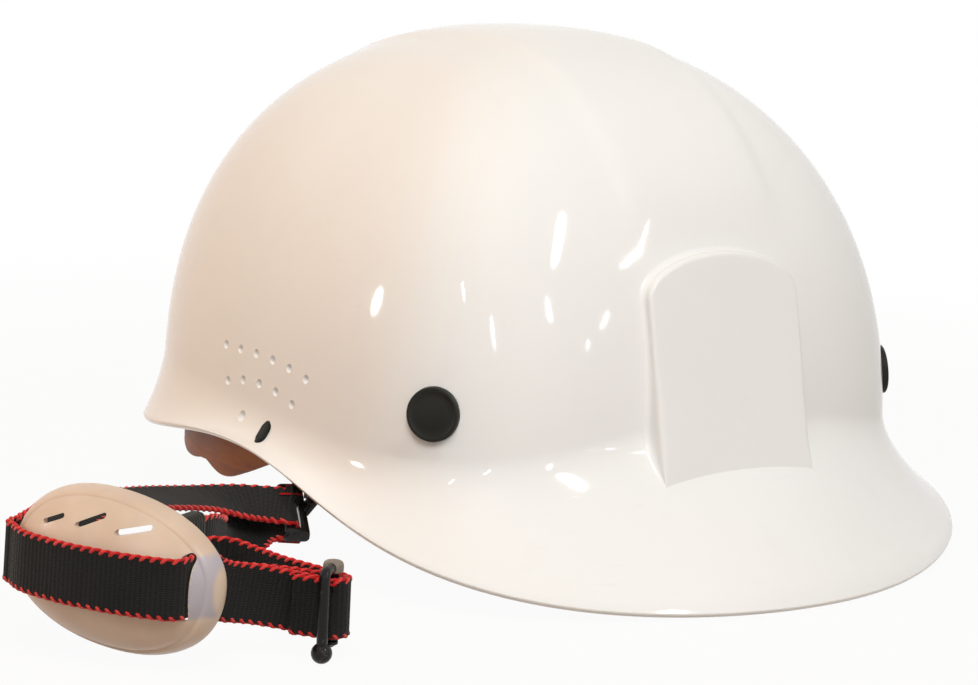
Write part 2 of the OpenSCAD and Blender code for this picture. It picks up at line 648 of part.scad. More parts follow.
// Webbing: one length, from the lap sewn on at the free hook, round the cap hook, over the cup and back.
// Each stop is a point and the tilt of the webbing's width away from level.
turn_in = bar_r + seat_gap + web_t / 2;
turn_out = turn_in + web_t + 0.4;
function on_bar(r, a, z) = [free_bar[0] + r * cos(a), free_bar[1] + r * sin(a), z];
function cap_turn(a) = cap_bar + turn_in * (sin(a) * web_n - cos(a) * cap_run);
lap_stops = concat(
    [for (p = [[104.2, -62.6, 14.2], [107.7, -59.2, 14]]) from_lug(p)],
    [for (a = [-46, -20, 10, 40, 70, 100, 124]) on_bar(turn_out, a, free_bar[2] + 0.2)],
    [for (p = [[101, -51.8, 14.4], [90, -55.2, 15], [80, -57.4, 15.8]]) from_lug(p)]
);
back_stops = [for (p = [
    [72, -61, 17], [68, -67, 17], [64.5, -73.5, 17], [60.5, -75.6, 17], [57, -71.2, 17],
    [52, -60.6, 17], [47, -50, 17], [37.5, -40.5, 13.2], [27.5, -30, 11.3], [22.4, -18.8, 12.7]
]) from_lug(p)];
cap_stops = concat(
    [for (p = [[21.8, -20, 20.2], [20, -36, 22.6], [25, -56, 25.6], [33, -76, 28], [41, -92, 28]]) from_lug(p)],
    [cup_pt(cup_mid - cup_half_l + 0.9, 2, cup_rim - 11)]
);
face_gap = seat_gap + web_t / 2;
cup_left = cup_mid - cup_half_l;
cup_right = cup_mid + cup_half_l;
band_v = 0.7;
slot_u = cup_right - 7.2;
cup_stops = concat(
    [cup_pt(cup_left - face_gap - 0.1, band_v, cup_rim - 1), cup_pt(cup_left - face_gap - 0.2, band_v, cup_rim + 3),
        cup_pt(cup_left + 0.1, band_v, cup_rim + 6.2)],
    [for (u = [cup_left + 2.4, cup_left + 6, cup_left + 11, cup_mid - 8, cup_mid, cup_mid + 8, cup_right - 12.5])
        cup_pt(u, band_v, cup_face(u) + face_gap + 0.1)],
    [cup_pt(slot_u - 1.7, band_v, cup_face(slot_u - 1.7) + face_gap + 0.4)]
);
hook_stops = concat(
    [cup_pt(slot_u, band_v, cup_face(slot_u) - 0.4), cup_pt(slot_u, band_v, cup_rim + 3),
        cup_pt(slot_u - 1, 0, cup_rim - 3.5)],
    [for (p = [[97.5, -80.5, 18.6], [98.4, -70, 16.4], [103.4, -61, 14.6]]) from_lug(p)],
    [for (a = [-46, -16, 14, 44, 74, 104, 134]) on_bar(turn_in, a, free_bar[2])],
    [for (p = [[100.8, -58.2, 14.6], [95.6, -67, 15.6], [93.2, -76, 16.6]]) from_lug(p)]
);
// Width directions: level is across the run, 90 is upright
function leaning(level, a) = [level[0] * cos(a), level[1] * cos(a), sin(a)];
lap_ways = [for (p = lap_stops) [0, 0, 1]];
back_ways = concat([for (i = [0:6]) [0, 0, 1]], [leaning([-0.6, 0.8], 56), leaning([-0.86, 0.5], 36), leaning([-0.9, 0.43], 30)]);
cap_ways = [
    leaning([-0.86, 0.5], 24), leaning([-0.99, 0.1], 13), leaning([-0.97, -0.23], 12), leaning([-0.93, -0.37], 9),
    leaning([-0.87, -0.48], 22), leaning([-0.85, -0.5], 60)
];
cup_ways = [for (p = cup_stops) cup_v];
hook_ways = concat([cup_v, cup_v], [for (i = [2:len(hook_stops) - 1]) [0, 0, 1]]);
bar_turns = [-90, -60, -30, 0, 30, 60, 90];
all_stops = concat(lap_stops, back_stops, [for (a = bar_turns) cap_turn(a)], cap_stops, cup_stops, hook_stops);
all_ways = concat(lap_ways, back_ways, [for (a = bar_turns) cap_bar_dir], cap_ways, cup_ways, hook_ways);
steps = 2;
path = curve(all_stops, steps);
ways = curve(all_ways, steps);
last = len(path) - 1;
function web_section(i) = let(
    go = unit(path[min(i + 1, last)] - path[max(i - 1, 0)]),
    n = unit(cross(go, ways[i])),
    w = unit(cross(n, go))
) section_at(path[i], w, n, web_w, web_t);
lap_to = steps * len(lap_stops);
back_to = lap_to + steps * (len(back_stops) + 3);
cap_to = back_to + steps * (len(cap_stops) + 4);
cup_to = cap_to + steps * (len(cup_stops) - 1);
module webbing(from, to) {
    color("black") loft([for (i = [from:to]) web_section(i)]);
}
module webbing_lap_run() {
    webbing(0, lap_to);
}
module webbing_back_run() {
    webbing(lap_to, back_to);
}
module webbing_cap_run() {
    webbing(back_to, cap_to);
}
module webbing_cup_run() {
    webbing(cap_to, cup_to);
}
module webbing_hook_run() {
    webbing(cup_to, last);
}

// Keeper sleeve on the straight of the back run
keeper_dir = unit(back_stops[6] - back_stops[4]);
keeper_len = 9;
module strap_keeper() {
    color("black")
    translate(back_stops[5]) rotate([0, 0, atan2(keeper_dir[1], keeper_dir[0])])
        difference() {
            cube([keeper_len, web_t + 4, web_w + 4.4], center = true);
            cube([keeper_len + 2, web_t + 2 * seat_gap, web_w + 2 * seat_gap], center = true);
        }
}

module cup_slot(u, v, turn, length, high) {
    translate(cup_pt(u, v, 0)) multmatrix([
        [cup_u[0], cup_v[0], cup_w[0], 0], [cup_u[1], cup_v[1], cup_w[1], 0], [cup_u[2], cup_v[2], cup_w[2], 0]
    ]) rotate([0, 0, turn]) cube([length, high, 40], center = true);
}
module chin_cup() {
    color("bisque")
    difference() {
        skin(cup_pt(cup_mid, 0, cup_rim + cup_depth),
            concat([for (r = cup_rhos) cup_ring(r, 0)], [for (r = reversed(cup_rhos)) cup_ring(r, cup_wall)]),
            cup_pt(cup_mid, 0, cup_rim + cup_depth - cup_wall));
        cup_slot(slot_u, band_v, 0, web_t + 1.6, web_w + 1.2);
        cup_slot(-12.4, 12.8, 24, 7, 1.3);
        cup_slot(-1.4, 14.2, 26, 8.5, 1.4);
        cup_slot(10.6, 13.4, 14, 9, 1.6);
    }
}

// Free hook: an upright bar in the webbing, a head above it, and in front a hooked arm with a ball end
ball_r = 2.8;
front_arm = [free_bar[0] + 4.9, free_bar[1] - 6.3];
front_r = bar_r - 0.1;
module free_hook() {
    head_z = free_bar[2] + web_w / 2 + 1.1;
    turn_z = head_z + 1.5;
    color("black") {
        rod([free_bar[0], free_bar[1], free_bar[2] - web_w / 2 - 1.6], [free_bar[0], free_bar[1], head_z + 1], bar_r);
        translate([free_bar[0], free_bar[1], head_z]) cylinder(r = ball_r - 0.1, h = 3, $fn = 32);
        translate([free_bar[0], free_bar[1], free_bar[2] - web_w / 2 - 2.2]) cylinder(r = bar_r + 0.5, h = 1.2, $fn = 32);
        rod([free_bar[0], free_bar[1], turn_z], [front_arm[0], front_arm[1], turn_z], front_r);
        translate([front_arm[0], front_arm[1], turn_z]) sphere(r = front_r + 0.2, $fn = 24);
        rod([front_arm[0], front_arm[1], ball_r + 0.01], [front_arm[0], front_arm[1], turn_z], front_r);
        translate([front_arm[0], front_arm[1], ball_r + 0.01]) sphere(r = ball_r, $fn = 32);
    }
}

shell();
side_stud(-1);  // side_stud_right
side_stud(1);  // side_stud_left
stud_retainer(-1);  // stud_retainer_right
stud_retainer(1);  // stud_retainer_left
side_key(-1);  // side_key_right
side_key(1);  // side_key_left
headband();
brow_pad();
nape_strap_right();
nape_strap_left();
nape_rivets();
size_button();
front_hanger(-1);  // front_hanger_right
front_hanger(1);  // front_hanger_left
side_hanger(-1);  // side_hanger_right
side_hanger(1);  // side_hanger_left
rear_hanger(-1);  // rear_hanger_right
rear_hanger(1);  // rear_hanger_left
crown_strap_upper();
crown_strap_lower();
crown_pad();
crown_rivet();
chin_lug(-1);  // chin_lug_right
chin_lug(1);  // chin_lug_left
cap_hook();
webbing_lap_run();
webbing_back_run();
webbing_cap_run();
webbing_cup_run();
webbing_hook_run();
strap_keeper();
chin_cup();
free_hook();
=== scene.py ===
"""Looks of a light protective cap with its chin strap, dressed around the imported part."""

from __future__ import annotations

import logging
import math
import sys
from dataclasses import dataclass, field
from enum import Enum
from typing import Callable, Iterable, Sequence, Union

import bpy
import numpy as np
from mathutils import Matrix, Vector
from mathutils.bvhtree import BVHTree

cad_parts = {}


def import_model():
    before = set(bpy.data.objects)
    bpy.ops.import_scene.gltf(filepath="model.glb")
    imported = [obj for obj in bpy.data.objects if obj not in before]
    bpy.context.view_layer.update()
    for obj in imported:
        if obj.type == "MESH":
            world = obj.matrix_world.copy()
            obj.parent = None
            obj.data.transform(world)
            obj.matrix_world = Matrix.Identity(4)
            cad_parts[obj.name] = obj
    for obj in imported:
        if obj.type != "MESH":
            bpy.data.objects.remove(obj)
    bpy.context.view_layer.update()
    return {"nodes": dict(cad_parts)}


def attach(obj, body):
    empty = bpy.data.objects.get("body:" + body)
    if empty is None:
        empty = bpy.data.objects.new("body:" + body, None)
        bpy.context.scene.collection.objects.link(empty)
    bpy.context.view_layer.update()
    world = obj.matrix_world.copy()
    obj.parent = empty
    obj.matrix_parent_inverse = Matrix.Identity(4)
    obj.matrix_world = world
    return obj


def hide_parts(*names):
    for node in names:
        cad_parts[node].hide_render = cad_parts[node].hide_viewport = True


LOG = logging.getLogger("cap")
MM = 0.001
FRAME = (978, 685)
QUADRANTS = ((1, 1), (-1, 1), (-1, -1), (1, -1))
Array = np.ndarray
Pair = tuple[float, float]
Triple = tuple[float, float, float]
Colour = tuple[float, float, float, float]


class Body(Enum):
    """The rigid bodies that pieces ride on."""

    CAP = "cap"
    CAP_HOOK = "cap_hook"
    STRAP = "chin_strap"
    KEEPER = "strap_keeper"
    FREE_HOOK = "free_hook"


class Slot(Enum):
    """The material slots of the part."""

    SHELL = "shell_white"
    BLACK = "black_plastic"
    BAND = "band_brown"
    CLOTH = "pad_cloth"
    TAPE = "crown_webbing"
    HOOK = "hook_black"
    WEBBING = "strap_webbing"
    CUP = "cup_plastic"


# Shader maths


class Value:
    """A shader socket that takes part in sums written as Python expressions."""

    def __init__(self, graph: "Graph", socket: bpy.types.NodeSocket) -> None:
        """Wraps one output socket of a graph."""
        self.graph = graph
        self.socket = socket

    def _sum(self, operation: str, other: "Term", swapped: bool = False) -> "Value":
        """One Math node on this value and another."""
        first, second = (other, self) if swapped else (self, other)
        return self.graph.node("Math", {"operation": operation}, {0: first, 1: second})

    def __add__(self, other: "Term") -> "Value":
        """self + other"""
        return self._sum("ADD", other)

    __radd__ = __add__

    def __sub__(self, other: "Term") -> "Value":
        """self - other"""
        return self._sum("SUBTRACT", other)

    def __rsub__(self, other: "Term") -> "Value":
        """other - self"""
        return self._sum("SUBTRACT", other, True)

    def __mul__(self, other: "Term") -> "Value":
        """self * other"""
        return self._sum("MULTIPLY", other)

    __rmul__ = __mul__

    def __abs__(self) -> "Value":
        """The size of self"""
        return self._sum("ABSOLUTE", 0.0)

    def wave(self) -> "Value":
        """The sine of self"""
        return self._sum("SINE", 0.0)

    def at_most(self, other: "Term") -> "Value":
        """The smaller of self and other"""
        return self._sum("MINIMUM", other)

    def at_least(self, other: "Term") -> "Value":
        """The larger of self and other"""
        return self._sum("MAXIMUM", other)

    def rise(self, low: float, high: float, least: float = 0.0) -> "Value":
        """Least below low, 1 above high and smooth between them."""
        inputs = {"Value": self, "From Min": low, "From Max": high, "To Min": least}
        return self.graph.node("MapRange", {"interpolation_type": "SMOOTHSTEP"}, inputs)


Term = Union[Value, float]


class Graph:
    """The node tree of a material or world."""

    def __init__(self, owner: bpy.types.ID) -> None:
        """Starts an empty tree in its owner."""
        owner.use_nodes = True
        self.tree = owner.node_tree
        self.tree.nodes.clear()

    def node(
        self, kind: str, settings: dict[str, object], inputs: dict[int | str, object], out: int | str = 0
    ) -> Value:
        """Adds a node of any kind.

        Args:
            kind: The node's type, without its prefix.
            settings: Its own settings, such as an operation.
            inputs: Values or links of its sockets.
            out: Which output to return.

        Returns:
            The chosen output.
        """
        made = self.tree.nodes.new("ShaderNode" + kind)
        for key, value in settings.items():
            setattr(made, key, value)
        for key, value in inputs.items():
            if isinstance(value, Value):
                self.tree.links.new(value.socket, made.inputs[key])
            else:
                made.inputs[key].default_value = value
        return Value(self, made.outputs[out] if made.outputs else None)

    def place(self) -> Value:
        """Position in the part's frame, in metres."""
        return self.node("TexCoord", {}, {}, "Object")

    def shown(self) -> Value:
        """1 for rays that show the background: from the camera, a gloss or a clear surface."""
        camera, gloss, clear = (
            self.node("LightPath", {}, {}, f"Is {ray} Ray") for ray in ("Camera", "Glossy", "Transmission")
        )
        return camera.at_least(gloss).at_least(clear)


class Paint(Graph):
    """A material's node graph around one Principled shader."""

    def __init__(self, name: str, fixed: dict[str, object]) -> None:
        """Starts a material.

        Args:
            name: The material's name.
            fixed: Values of the shader's own sockets that are the same all over.
        """
        self.material = bpy.data.materials.new(name)
        super().__init__(self.material)
        self.shader = self.node("BsdfPrincipled", {}, fixed)
        self.node("OutputMaterial", {}, {"Surface": self.shader})

    def feed(self, **values: Value) -> None:
        """Links values to the shader's sockets, with _ for a space in a name."""
        for key, value in values.items():
            self.tree.links.new(value.socket, self.shader.socket.node.inputs[key.replace("_", " ")])

    def noise(self, scale: float, detail: float = 2.0, stretch: Triple | None = None) -> Value:
        """Noise from 0 to 1, with scale in cycles to the metre and a factor for each axis."""
        at = self.place()
        if stretch:
            at = self.node("VectorMath", {"operation": "MULTIPLY"}, {0: at, 1: stretch})
        return self.node("TexNoise", {}, {"Vector": at, "Scale": scale, "Detail": detail})

    def mark(self, name: str) -> Value:
        """A number that the mesh carries at each point."""
        return self.node("Attribute", {"attribute_name": name}, {}, "Fac")

    def mix(self, share: Term, first: object, second: object) -> Value:
        """A colour between two, by share."""
        return self.node("Mix", {"data_type": "RGBA"}, {"Factor": share, 6: first, 7: second}, 2)

    def bump(self, height: Value, metres: float, strength: float) -> None:
        """Bumps the surface by a height from 0 to 1 that is metres high."""
        self.feed(Normal=self.node("Bump", {}, {"Height": height, "Distance": metres, "Strength": strength}))


# Finishes


@dataclass(frozen=True)
class Finish:
    """What one kind of surface looks like."""

    name: str
    slot: Slot
    colour: Colour
    second: Colour
    FIXED = {}

    def material(self) -> bpy.types.Material:
        """The finish's material, made once."""
        found = bpy.data.materials.get(self.name)
        if found:
            return found
        made = Paint(self.name, self.FIXED)
        self.paint(made)
        return made.material

    def tone(self, made: Paint, share: Value) -> Value:
        """A colour between the finish's two."""
        return made.mix(share, self.colour, self.second)

    def paint(self, made: Paint) -> None:
        """Adds the finish's nodes."""
        raise NotImplementedError


@dataclass(frozen=True)
class GlossShell(Finish):
    """Glossy moulded shell with a faint orange peel, soft tone changes and light handling marks."""

    rough: float = 0.055
    dust_tone: Colour = (0.5, 0.44, 0.38, 1.0)
    FIXED = {"IOR": 1.5, "Specular IOR Level": 0.5}

    def paint(self, made: Paint) -> None:
        """Adds the finish's nodes."""
        cloud = made.noise(9.0, 3.0).rise(0.3, 0.7)
        scuffs = made.noise(160.0, 4.0, (1.0, 0.25, 3.0)).rise(0.66, 0.72)
        worn = made.noise(14.0).rise(0.5, 0.75) * scuffs
        dust = made.noise(70.0, 5.0).rise(0.55, 0.85)
        made.feed(
            Base_Color=made.mix(dust * 0.06 + worn * 0.1, self.tone(made, cloud), self.dust_tone),
            Roughness=self.rough + cloud * 0.03 + worn * 0.24,
        )
        made.bump(made.noise(230.0, 1.0) + worn * 0.3, 0.00003, 0.5)


@dataclass(frozen=True)
class Moulded(Finish):
    """Matt moulded plastic with a fine grain."""

    rough: float = 0.42
    FIXED = {"Specular IOR Level": 0.2}

    def paint(self, made: Paint) -> None:
        """Adds the finish's nodes."""
        grain = made.noise(2600.0)
        rubbed = made.noise(45.0, 4.0).rise(0.45, 0.75)
        made.feed(
            Base_Color=self.tone(made, rubbed * 0.7 + grain * 0.3),
            Roughness=self.rough + grain * 0.12 - rubbed * 0.1,
        )
        made.bump(grain, 0.00006, 0.6)


@dataclass(frozen=True)
class BandPlastic(Finish):
    """Satin red-brown band plastic with long flow lines."""

    rough: float = 0.4
    FIXED = {"Specular IOR Level": 0.25}

    def paint(self, made: Paint) -> None:
        """Adds the finish's nodes."""
        flow = made.noise(60.0, 3.0, (1.0, 1.0, 7.0))
        grain = made.noise(2200.0, 1.0)
        made.feed(
            Base_Color=self.tone(made, flow.rise(0.3, 0.7)),
            Roughness=self.rough + flow * 0.15 + grain * 0.06,
        )
        made.bump(flow * 0.5 + grain * 0.5, 0.00006, 0.6)


@dataclass(frozen=True)
class Woven(Finish):
    """Ribbed tape, from the marks run and across that its mesh carries in millimetres."""

    rib: float = 1.35
    yarn: float = 0.62
    edge: Colour = (0.45, 0.012, 0.012, 1.0)
    edge_from: float = 7.45
    edge_fade: float = 0.25
    FIXED = {"Sheen Weight": 0.08, "Sheen Roughness": 0.45, "Specular IOR Level": 0.15}

    def paint(self, made: Paint) -> None:
        """Adds the finish's nodes."""
        run, across = made.mark("run"), made.mark("across")
        fuzz = made.noise(900.0, 3.0)
        row = (run * (2 * math.pi / self.rib)).wave()
        warp = (across * (2 * math.pi / self.yarn) + (run * (math.pi / self.rib)).wave() * 1.4).wave()
        weave = 0.5 + row * 0.24 + warp * 0.26
        faded = made.noise(35.0, 3.0).rise(0.35, 0.75)
        cloth = self.tone(made, (weave * 0.6 + faded * 0.25 + fuzz * 0.3).at_most(1.0))
        border = abs(across).rise(self.edge_from, self.edge_from + self.edge_fade)
        made.feed(Base_Color=made.mix(border, cloth, self.edge), Roughness=0.72 + fuzz * 0.2)
        made.bump(weave + fuzz * 0.35, 0.00022, 0.9)


@dataclass(frozen=True)
class Thread(Finish):
    """Twisted stitching thread, from the marks run and across."""

    twist: float = 0.55
    FIXED = {"Sheen Weight": 0.3, "Sheen Roughness": 0.4, "Specular IOR Level": 0.3}

    def paint(self, made: Paint) -> None:
        """Adds the finish's nodes."""
        twist = ((made.mark("run") + made.mark("across")) * (2 * math.pi / self.twist)).wave()
        patch = made.noise(400.0, 3.0)
        made.feed(
            Base_Color=self.tone(made, patch.rise(0.25, 0.75) * 0.7 + 0.15 + twist * 0.15),
            Roughness=0.55 + patch * 0.2,
        )
        made.bump(0.5 + twist * 0.5, 0.00008, 0.8)


@dataclass(frozen=True)
class CupPlastic(Finish):
    """Natural translucent plastic. A mark on the mesh, 1 where webbing lies against its back, mixes in painted shade:
    the darker violet-grey of the webbing seen through.
    """

    # painted shade: the dark violet-grey of webbing seen through the cup, and how much of it is mixed in
    behind: Colour = (0.42, 0.4, 0.47, 1.0)
    painted_shade_share: float = 0.85
    FIXED = {
        "Subsurface Weight": 0.3,
        "Subsurface Radius": (1.0, 0.55, 0.3),
        "Subsurface Scale": 0.004,
        "Coat Weight": 0.2,
        "Coat Roughness": 0.15,
        "Alpha": 0.94,
    }

    def paint(self, made: Paint) -> None:
        """Adds the finish's nodes."""
        cloud = made.noise(55.0, 4.0).rise(0.3, 0.7)
        marks = made.noise(500.0, 3.0, (1.0, 1.0, 5.0))
        # the colour is mixed towards the painted shade where webbing lies behind the cup
        made.feed(
            Base_Color=made.mix(made.mark("tucked") * self.painted_shade_share, self.tone(made, cloud), self.behind),
            Roughness=0.3 + marks * 0.12 + cloud * 0.06,
        )
        made.bump(marks + cloud * 0.4, 0.00005, 0.5)


@dataclass(frozen=True)
class BlackMetal(Finish):
    """Black coated bar with rubbed places."""

    FIXED = {"Coat Roughness": 0.12, "Specular IOR Level": 0.16}

    def paint(self, made: Paint) -> None:
        """Adds the finish's nodes."""
        rubbed = made.noise(330.0, 4.0).rise(0.6, 0.74)
        grain = made.noise(1800.0)
        made.feed(
            Base_Color=self.tone(made, rubbed),
            Metallic=rubbed * 0.5,
            Roughness=0.26 + grain * 0.14 + rubbed * 0.12,
            Coat_Weight=0.14 - rubbed * 0.1,
        )
        made.bump(grain - rubbed * 0.5, 0.00004, 0.5)


@dataclass(frozen=True)
class BrushedCloth(Finish):
    """Brushed cloth over foam."""

    loop_scale: float = 1400.0
    FIXED = {"Sheen Weight": 0.4, "Sheen Roughness": 0.5, "Specular IOR Level": 0.2}

    def paint(self, made: Paint) -> None:
        """Adds the finish's nodes."""
        nap = made.noise(1500.0, 4.0)
        loops = made.node("TexVoronoi", {}, {"Vector": made.place(), "Scale": self.loop_scale}, "Distance")
        worn = made.noise(40.0, 3.0).rise(0.35, 0.7)
        made.feed(Base_Color=self.tone(made, (nap * 0.6 + worn * 0.4).at_most(1.0)), Roughness=0.8 + nap * 0.15)
        made.bump(nap * 0.6 + loops * 0.6, 0.00018, 0.8)


SHELL_WHITE = GlossShell("shell_gloss", Slot.SHELL, (0.79, 0.78, 0.765, 1), (0.82, 0.81, 0.8, 1))
BLACK_MOULD = Moulded("black_mould", Slot.BLACK, (0.008, 0.008, 0.006, 1), (0.02, 0.019, 0.015, 1))
BAND_MOULD = BandPlastic("band_mould", Slot.BAND, (0.2, 0.055, 0.009, 1), (0.3, 0.105, 0.024, 1))
STRAP_WEAVE = Woven("strap_weave", Slot.WEBBING, (0.003, 0.003, 0.003, 1), (0.02, 0.02, 0.019, 1))
CROWN_WEAVE = Woven(
    "crown_weave", Slot.TAPE, (0.03, 0.03, 0.034, 1), (0.1, 0.1, 0.11, 1), edge=(0.05, 0.05, 0.055, 1), edge_from=7.0
)
RED_THREAD = Thread("red_thread", Slot.WEBBING, (0.45, 0.01, 0.012, 1), (0.78, 0.06, 0.05, 1))
CUP_NATURAL = CupPlastic("cup_natural", Slot.CUP, (0.62, 0.46, 0.345, 1), (0.7, 0.55, 0.43, 1))
HOOK_COAT = BlackMetal("hook_coat", Slot.HOOK, (0.006, 0.005, 0.005, 1), (0.09, 0.08, 0.07, 1))
HEAD_METAL = BlackMetal("hook_head", Slot.HOOK, (0.2, 0.165, 0.13, 1), (0.42, 0.37, 0.31, 1))
PAD_CLOTH = BrushedCloth("pad_brushed", Slot.CLOTH, (0.05, 0.05, 0.056, 1), (0.13, 0.13, 0.14, 1))


# Mesh work, in millimetres


def cosd(a: Array) -> Array:
    """The cosine of an angle in degrees."""
    return np.cos(np.radians(a))


def sind(a: Array) -> Array:
    """The sine of an angle in degrees."""
    return np.sin(np.radians(a))


def unit(v: Sequence[float]) -> Array:
    """The vector at length 1."""
    v = np.asarray(v, float)
    return v / np.maximum(np.linalg.norm(v, axis=-1, keepdims=True), 1e-12)


def ramp(x: Array, low: float, high: float) -> Array:
    """0 below low, 1 above high and straight between them."""
    return np.clip((x - low) / (high - low), 0, 1)


def smooth(x: Array, low: float, high: float) -> Array:
    """0 below low, 1 above high and smooth between them."""
    t = ramp(x, low, high)
    return t * t * (3 - 2 * t)


def bell(x: Array, middle: float, width: float) -> Array:
    """1 at the middle, falling off over a width."""
    return np.exp(-(((x - middle) / width) ** 2))


def lengths(path: Array) -> Array:
    """The length along a path at each of its points."""
    return np.concatenate([[0], np.cumsum(np.linalg.norm(np.diff(path, axis=0), axis=1))])


def curve(stops: Sequence[Sequence[float]], steps: int) -> Array:
    """A smooth curve through the stops.

    Args:
        stops: Points.
        steps: Steps from each stop to the next.

    Returns:
        The curve's points, the stops among them.
    """
    p = np.asarray(stops, float)
    full = np.vstack([2 * p[:1] - p[1:2], p, 2 * p[-1:] - p[-2:-1]])
    a, b, c, d = (full[k : len(p) - 1 + k, None, :] for k in range(4))
    t = (np.arange(steps) / steps)[None, :, None]
    made = (2 * b + (c - a) * t + (2 * a - 5 * b + 4 * c - d) * t**2 + (3 * b - a - 3 * c + d) * t**3) / 2
    return np.vstack([made.reshape(-1, p.shape[1]), p[-1:]])


def bend(before: Array, corner: Array, after: Array, steps: Iterable[float]) -> list[Array]:
    """Points of an arc from before to after that is pulled towards a corner."""
    return [(1 - t) ** 2 * before + 2 * t * (1 - t) * corner + t**2 * after for t in steps]


def eased(points: Sequence[Sequence[float]], cut: float, steps: int) -> Array:
    """A polyline with its corners rounded by arcs that start cut before them."""
    p = [np.asarray(x, float) for x in points]
    made = [p[0]]
    for before, corner, after in zip(p, p[1:], p[2:]):
        reach = min(cut, np.linalg.norm(before - corner) * 0.49, np.linalg.norm(after - corner) * 0.49)
        start, end = (corner + unit(x - corner) * reach for x in (before, after))
        made += bend(start, corner, end, np.linspace(0, 1, steps + 1))
    return np.array([*made, p[-1]])


def ball(radius: float, steps: int) -> list[Pair]:
    """A lathe profile of a ball."""
    turn = np.radians(np.linspace(-90, 90, steps))
    return [(radius * math.cos(t) if abs(t) < 1.57 else 0.0, radius * math.sin(t)) for t in turn]


def rounded(half: float, tall: float, corner: float, angles: Sequence[float]) -> tuple[Array, Array]:
    """A rectangle with rounded corners.

    Args:
        half: Half of its length.
        tall: Half of its height.
        corner: Radius of its corners.
        angles: Where each quarter of a corner has points, in degrees.

    Returns:
        Its points, and the outward direction at each.
    """
    out = []
    for k, (a, b) in enumerate(QUADRANTS):
        for turn in angles:
            u, v = cosd(turn), sind(turn)
            out.append((a * u, b * v) if k % 2 == 0 else (a * v, b * u))
    ways = np.array(out)
    signs = np.repeat(QUADRANTS, len(angles), axis=0)
    return signs * [half - corner, tall - corner] + corner * ways, ways


def oblong(width: float, height: float, steps: int = 14) -> Array:
    """An upright oblong with round ends."""
    r = width / 2
    turn = np.linspace(0, np.pi, steps)
    top = np.column_stack([r * np.cos(turn), (height / 2 - r) + r * np.sin(turn)])
    return np.concatenate([top, -top])


def pebble(length: float, width: float, corner: float) -> Array:
    """A rectangle with rounded corners, its length along the first axis."""
    return rounded(length / 2, width / 2, corner, np.linspace(0, 90, 5))[0]


def lozenge(width: float, height: float, cut: float = 0.35) -> Array:
    """An upright oblong with pointed ends and eased corners."""
    w, h, s = width / 2, height / 2, height * 0.26
    tip = w * 0.35
    corners = np.array([(w, -s), (w, s), (tip, h), (-tip, h), (-w, s), (-w, -s), (-tip, -h), (tip, -h)])
    made = []
    for before, c, after in zip(np.roll(corners, 1, 0), corners, np.roll(corners, -1, 0)):
        made += bend(c + unit(before - c) * cut, c, c + unit(after - c) * cut, (0, 0.33, 0.67, 1))
    return np.array(made)


class Mesh:
    """A mesh that grows from rings of points, in millimetres."""

    def __init__(self) -> None:
        """Starts empty."""
        self.points: list[Array] = []
        self.faces: list[list[int]] = []
        self.marks: dict[str, list[Array]] = {}
        self.count = 0

    def add(self, points: Array, **marks: Array) -> int:
        """Adds points with their marks and returns the first one's index."""
        points = np.asarray(points, float).reshape(-1, 3)
        start = self.count
        self.points.append(points)
        for name in {**self.marks, **marks}:
            held = self.marks.setdefault(name, [np.zeros(start)] if start else [])
            held.append(np.asarray(marks.get(name, np.zeros(len(points))), float).reshape(-1))
        self.count += len(points)
        return start

    def grid(self, rows: Array, around: bool = True, closed: bool = False, flip: bool = False, **marks: Array) -> int:
        """Adds a grid of points and the faces between them.

        Args:
            rows: Points as rows x columns x 3.
            around: Whether each row closes on itself.
            closed: Whether the last row joins the first.
            flip: Whether the faces turn the other way.
            marks: Numbers for each point.

        Returns:
            The first point's index.
        """
        rows = np.asarray(rows, float)
        m, n = rows.shape[:2]
        start = self.add(rows, **{k: np.broadcast_to(v, (m, n)) for k, v in marks.items()})
        for i in range(m if closed else m - 1):
            for j in range(n if around else n - 1):
                a, b = start + i * n + j, start + i * n + (j + 1) % n
                c, d = start + (i + 1) % m * n + (j + 1) % n, start + (i + 1) % m * n + j
                self.faces.append([a, d, c, b] if flip else [a, b, c, d])
        return start

    def lid(self, start: int, count: int, flip: bool = False) -> None:
        """Closes a ring with one face."""
        ring = list(range(start, start + count))
        self.faces.append(ring[::-1] if flip else ring)

    def solid(self, rows: Array, flip: bool = False, **marks: Array) -> None:
        """Adds a grid of closed rings, with a face over each end."""
        m, n = np.shape(rows)[:2]
        start = self.grid(rows, flip=flip, **marks)
        self.lid(start, n, not flip)
        self.lid(start + (m - 1) * n, n, flip)

    def fan(self, pole: Sequence[float], start: int, count: int, flip: bool = False) -> None:
        """Closes a ring to a pole."""
        top = self.add(np.array([pole]))
        for j in range(count):
            a, b = start + j, start + (j + 1) % count
            self.faces.append([top, b, a] if flip else [top, a, b])

    def join(self, other: "Mesh") -> None:
        """Adds another mesh's points and faces."""
        shift = self.count
        self.add(np.concatenate(other.points))
        self.faces += [[i + shift for i in face] for face in other.faces]

    def mirrored(self) -> "Mesh":
        """The same mesh on the other side of the cap."""
        other = Mesh()
        other.points = [p * np.array([1, -1, 1]) for p in self.points]
        other.faces = [f[::-1] for f in self.faces]
        other.marks = self.marks
        other.count = self.count
        return other

    def data(self, name: str) -> bpy.types.Mesh:
        """The Blender mesh, in metres."""
        made = bpy.data.meshes.new(name)
        points = np.concatenate(self.points) * MM
        made.from_pydata([tuple(p) for p in points], [], self.faces)
        for key, held in self.marks.items():
            values = np.concatenate(held).astype(np.float32)
            made.attributes.new(key, "FLOAT", "POINT").data.foreach_set("value", values)
        made.validate()
        made.update()
        return made


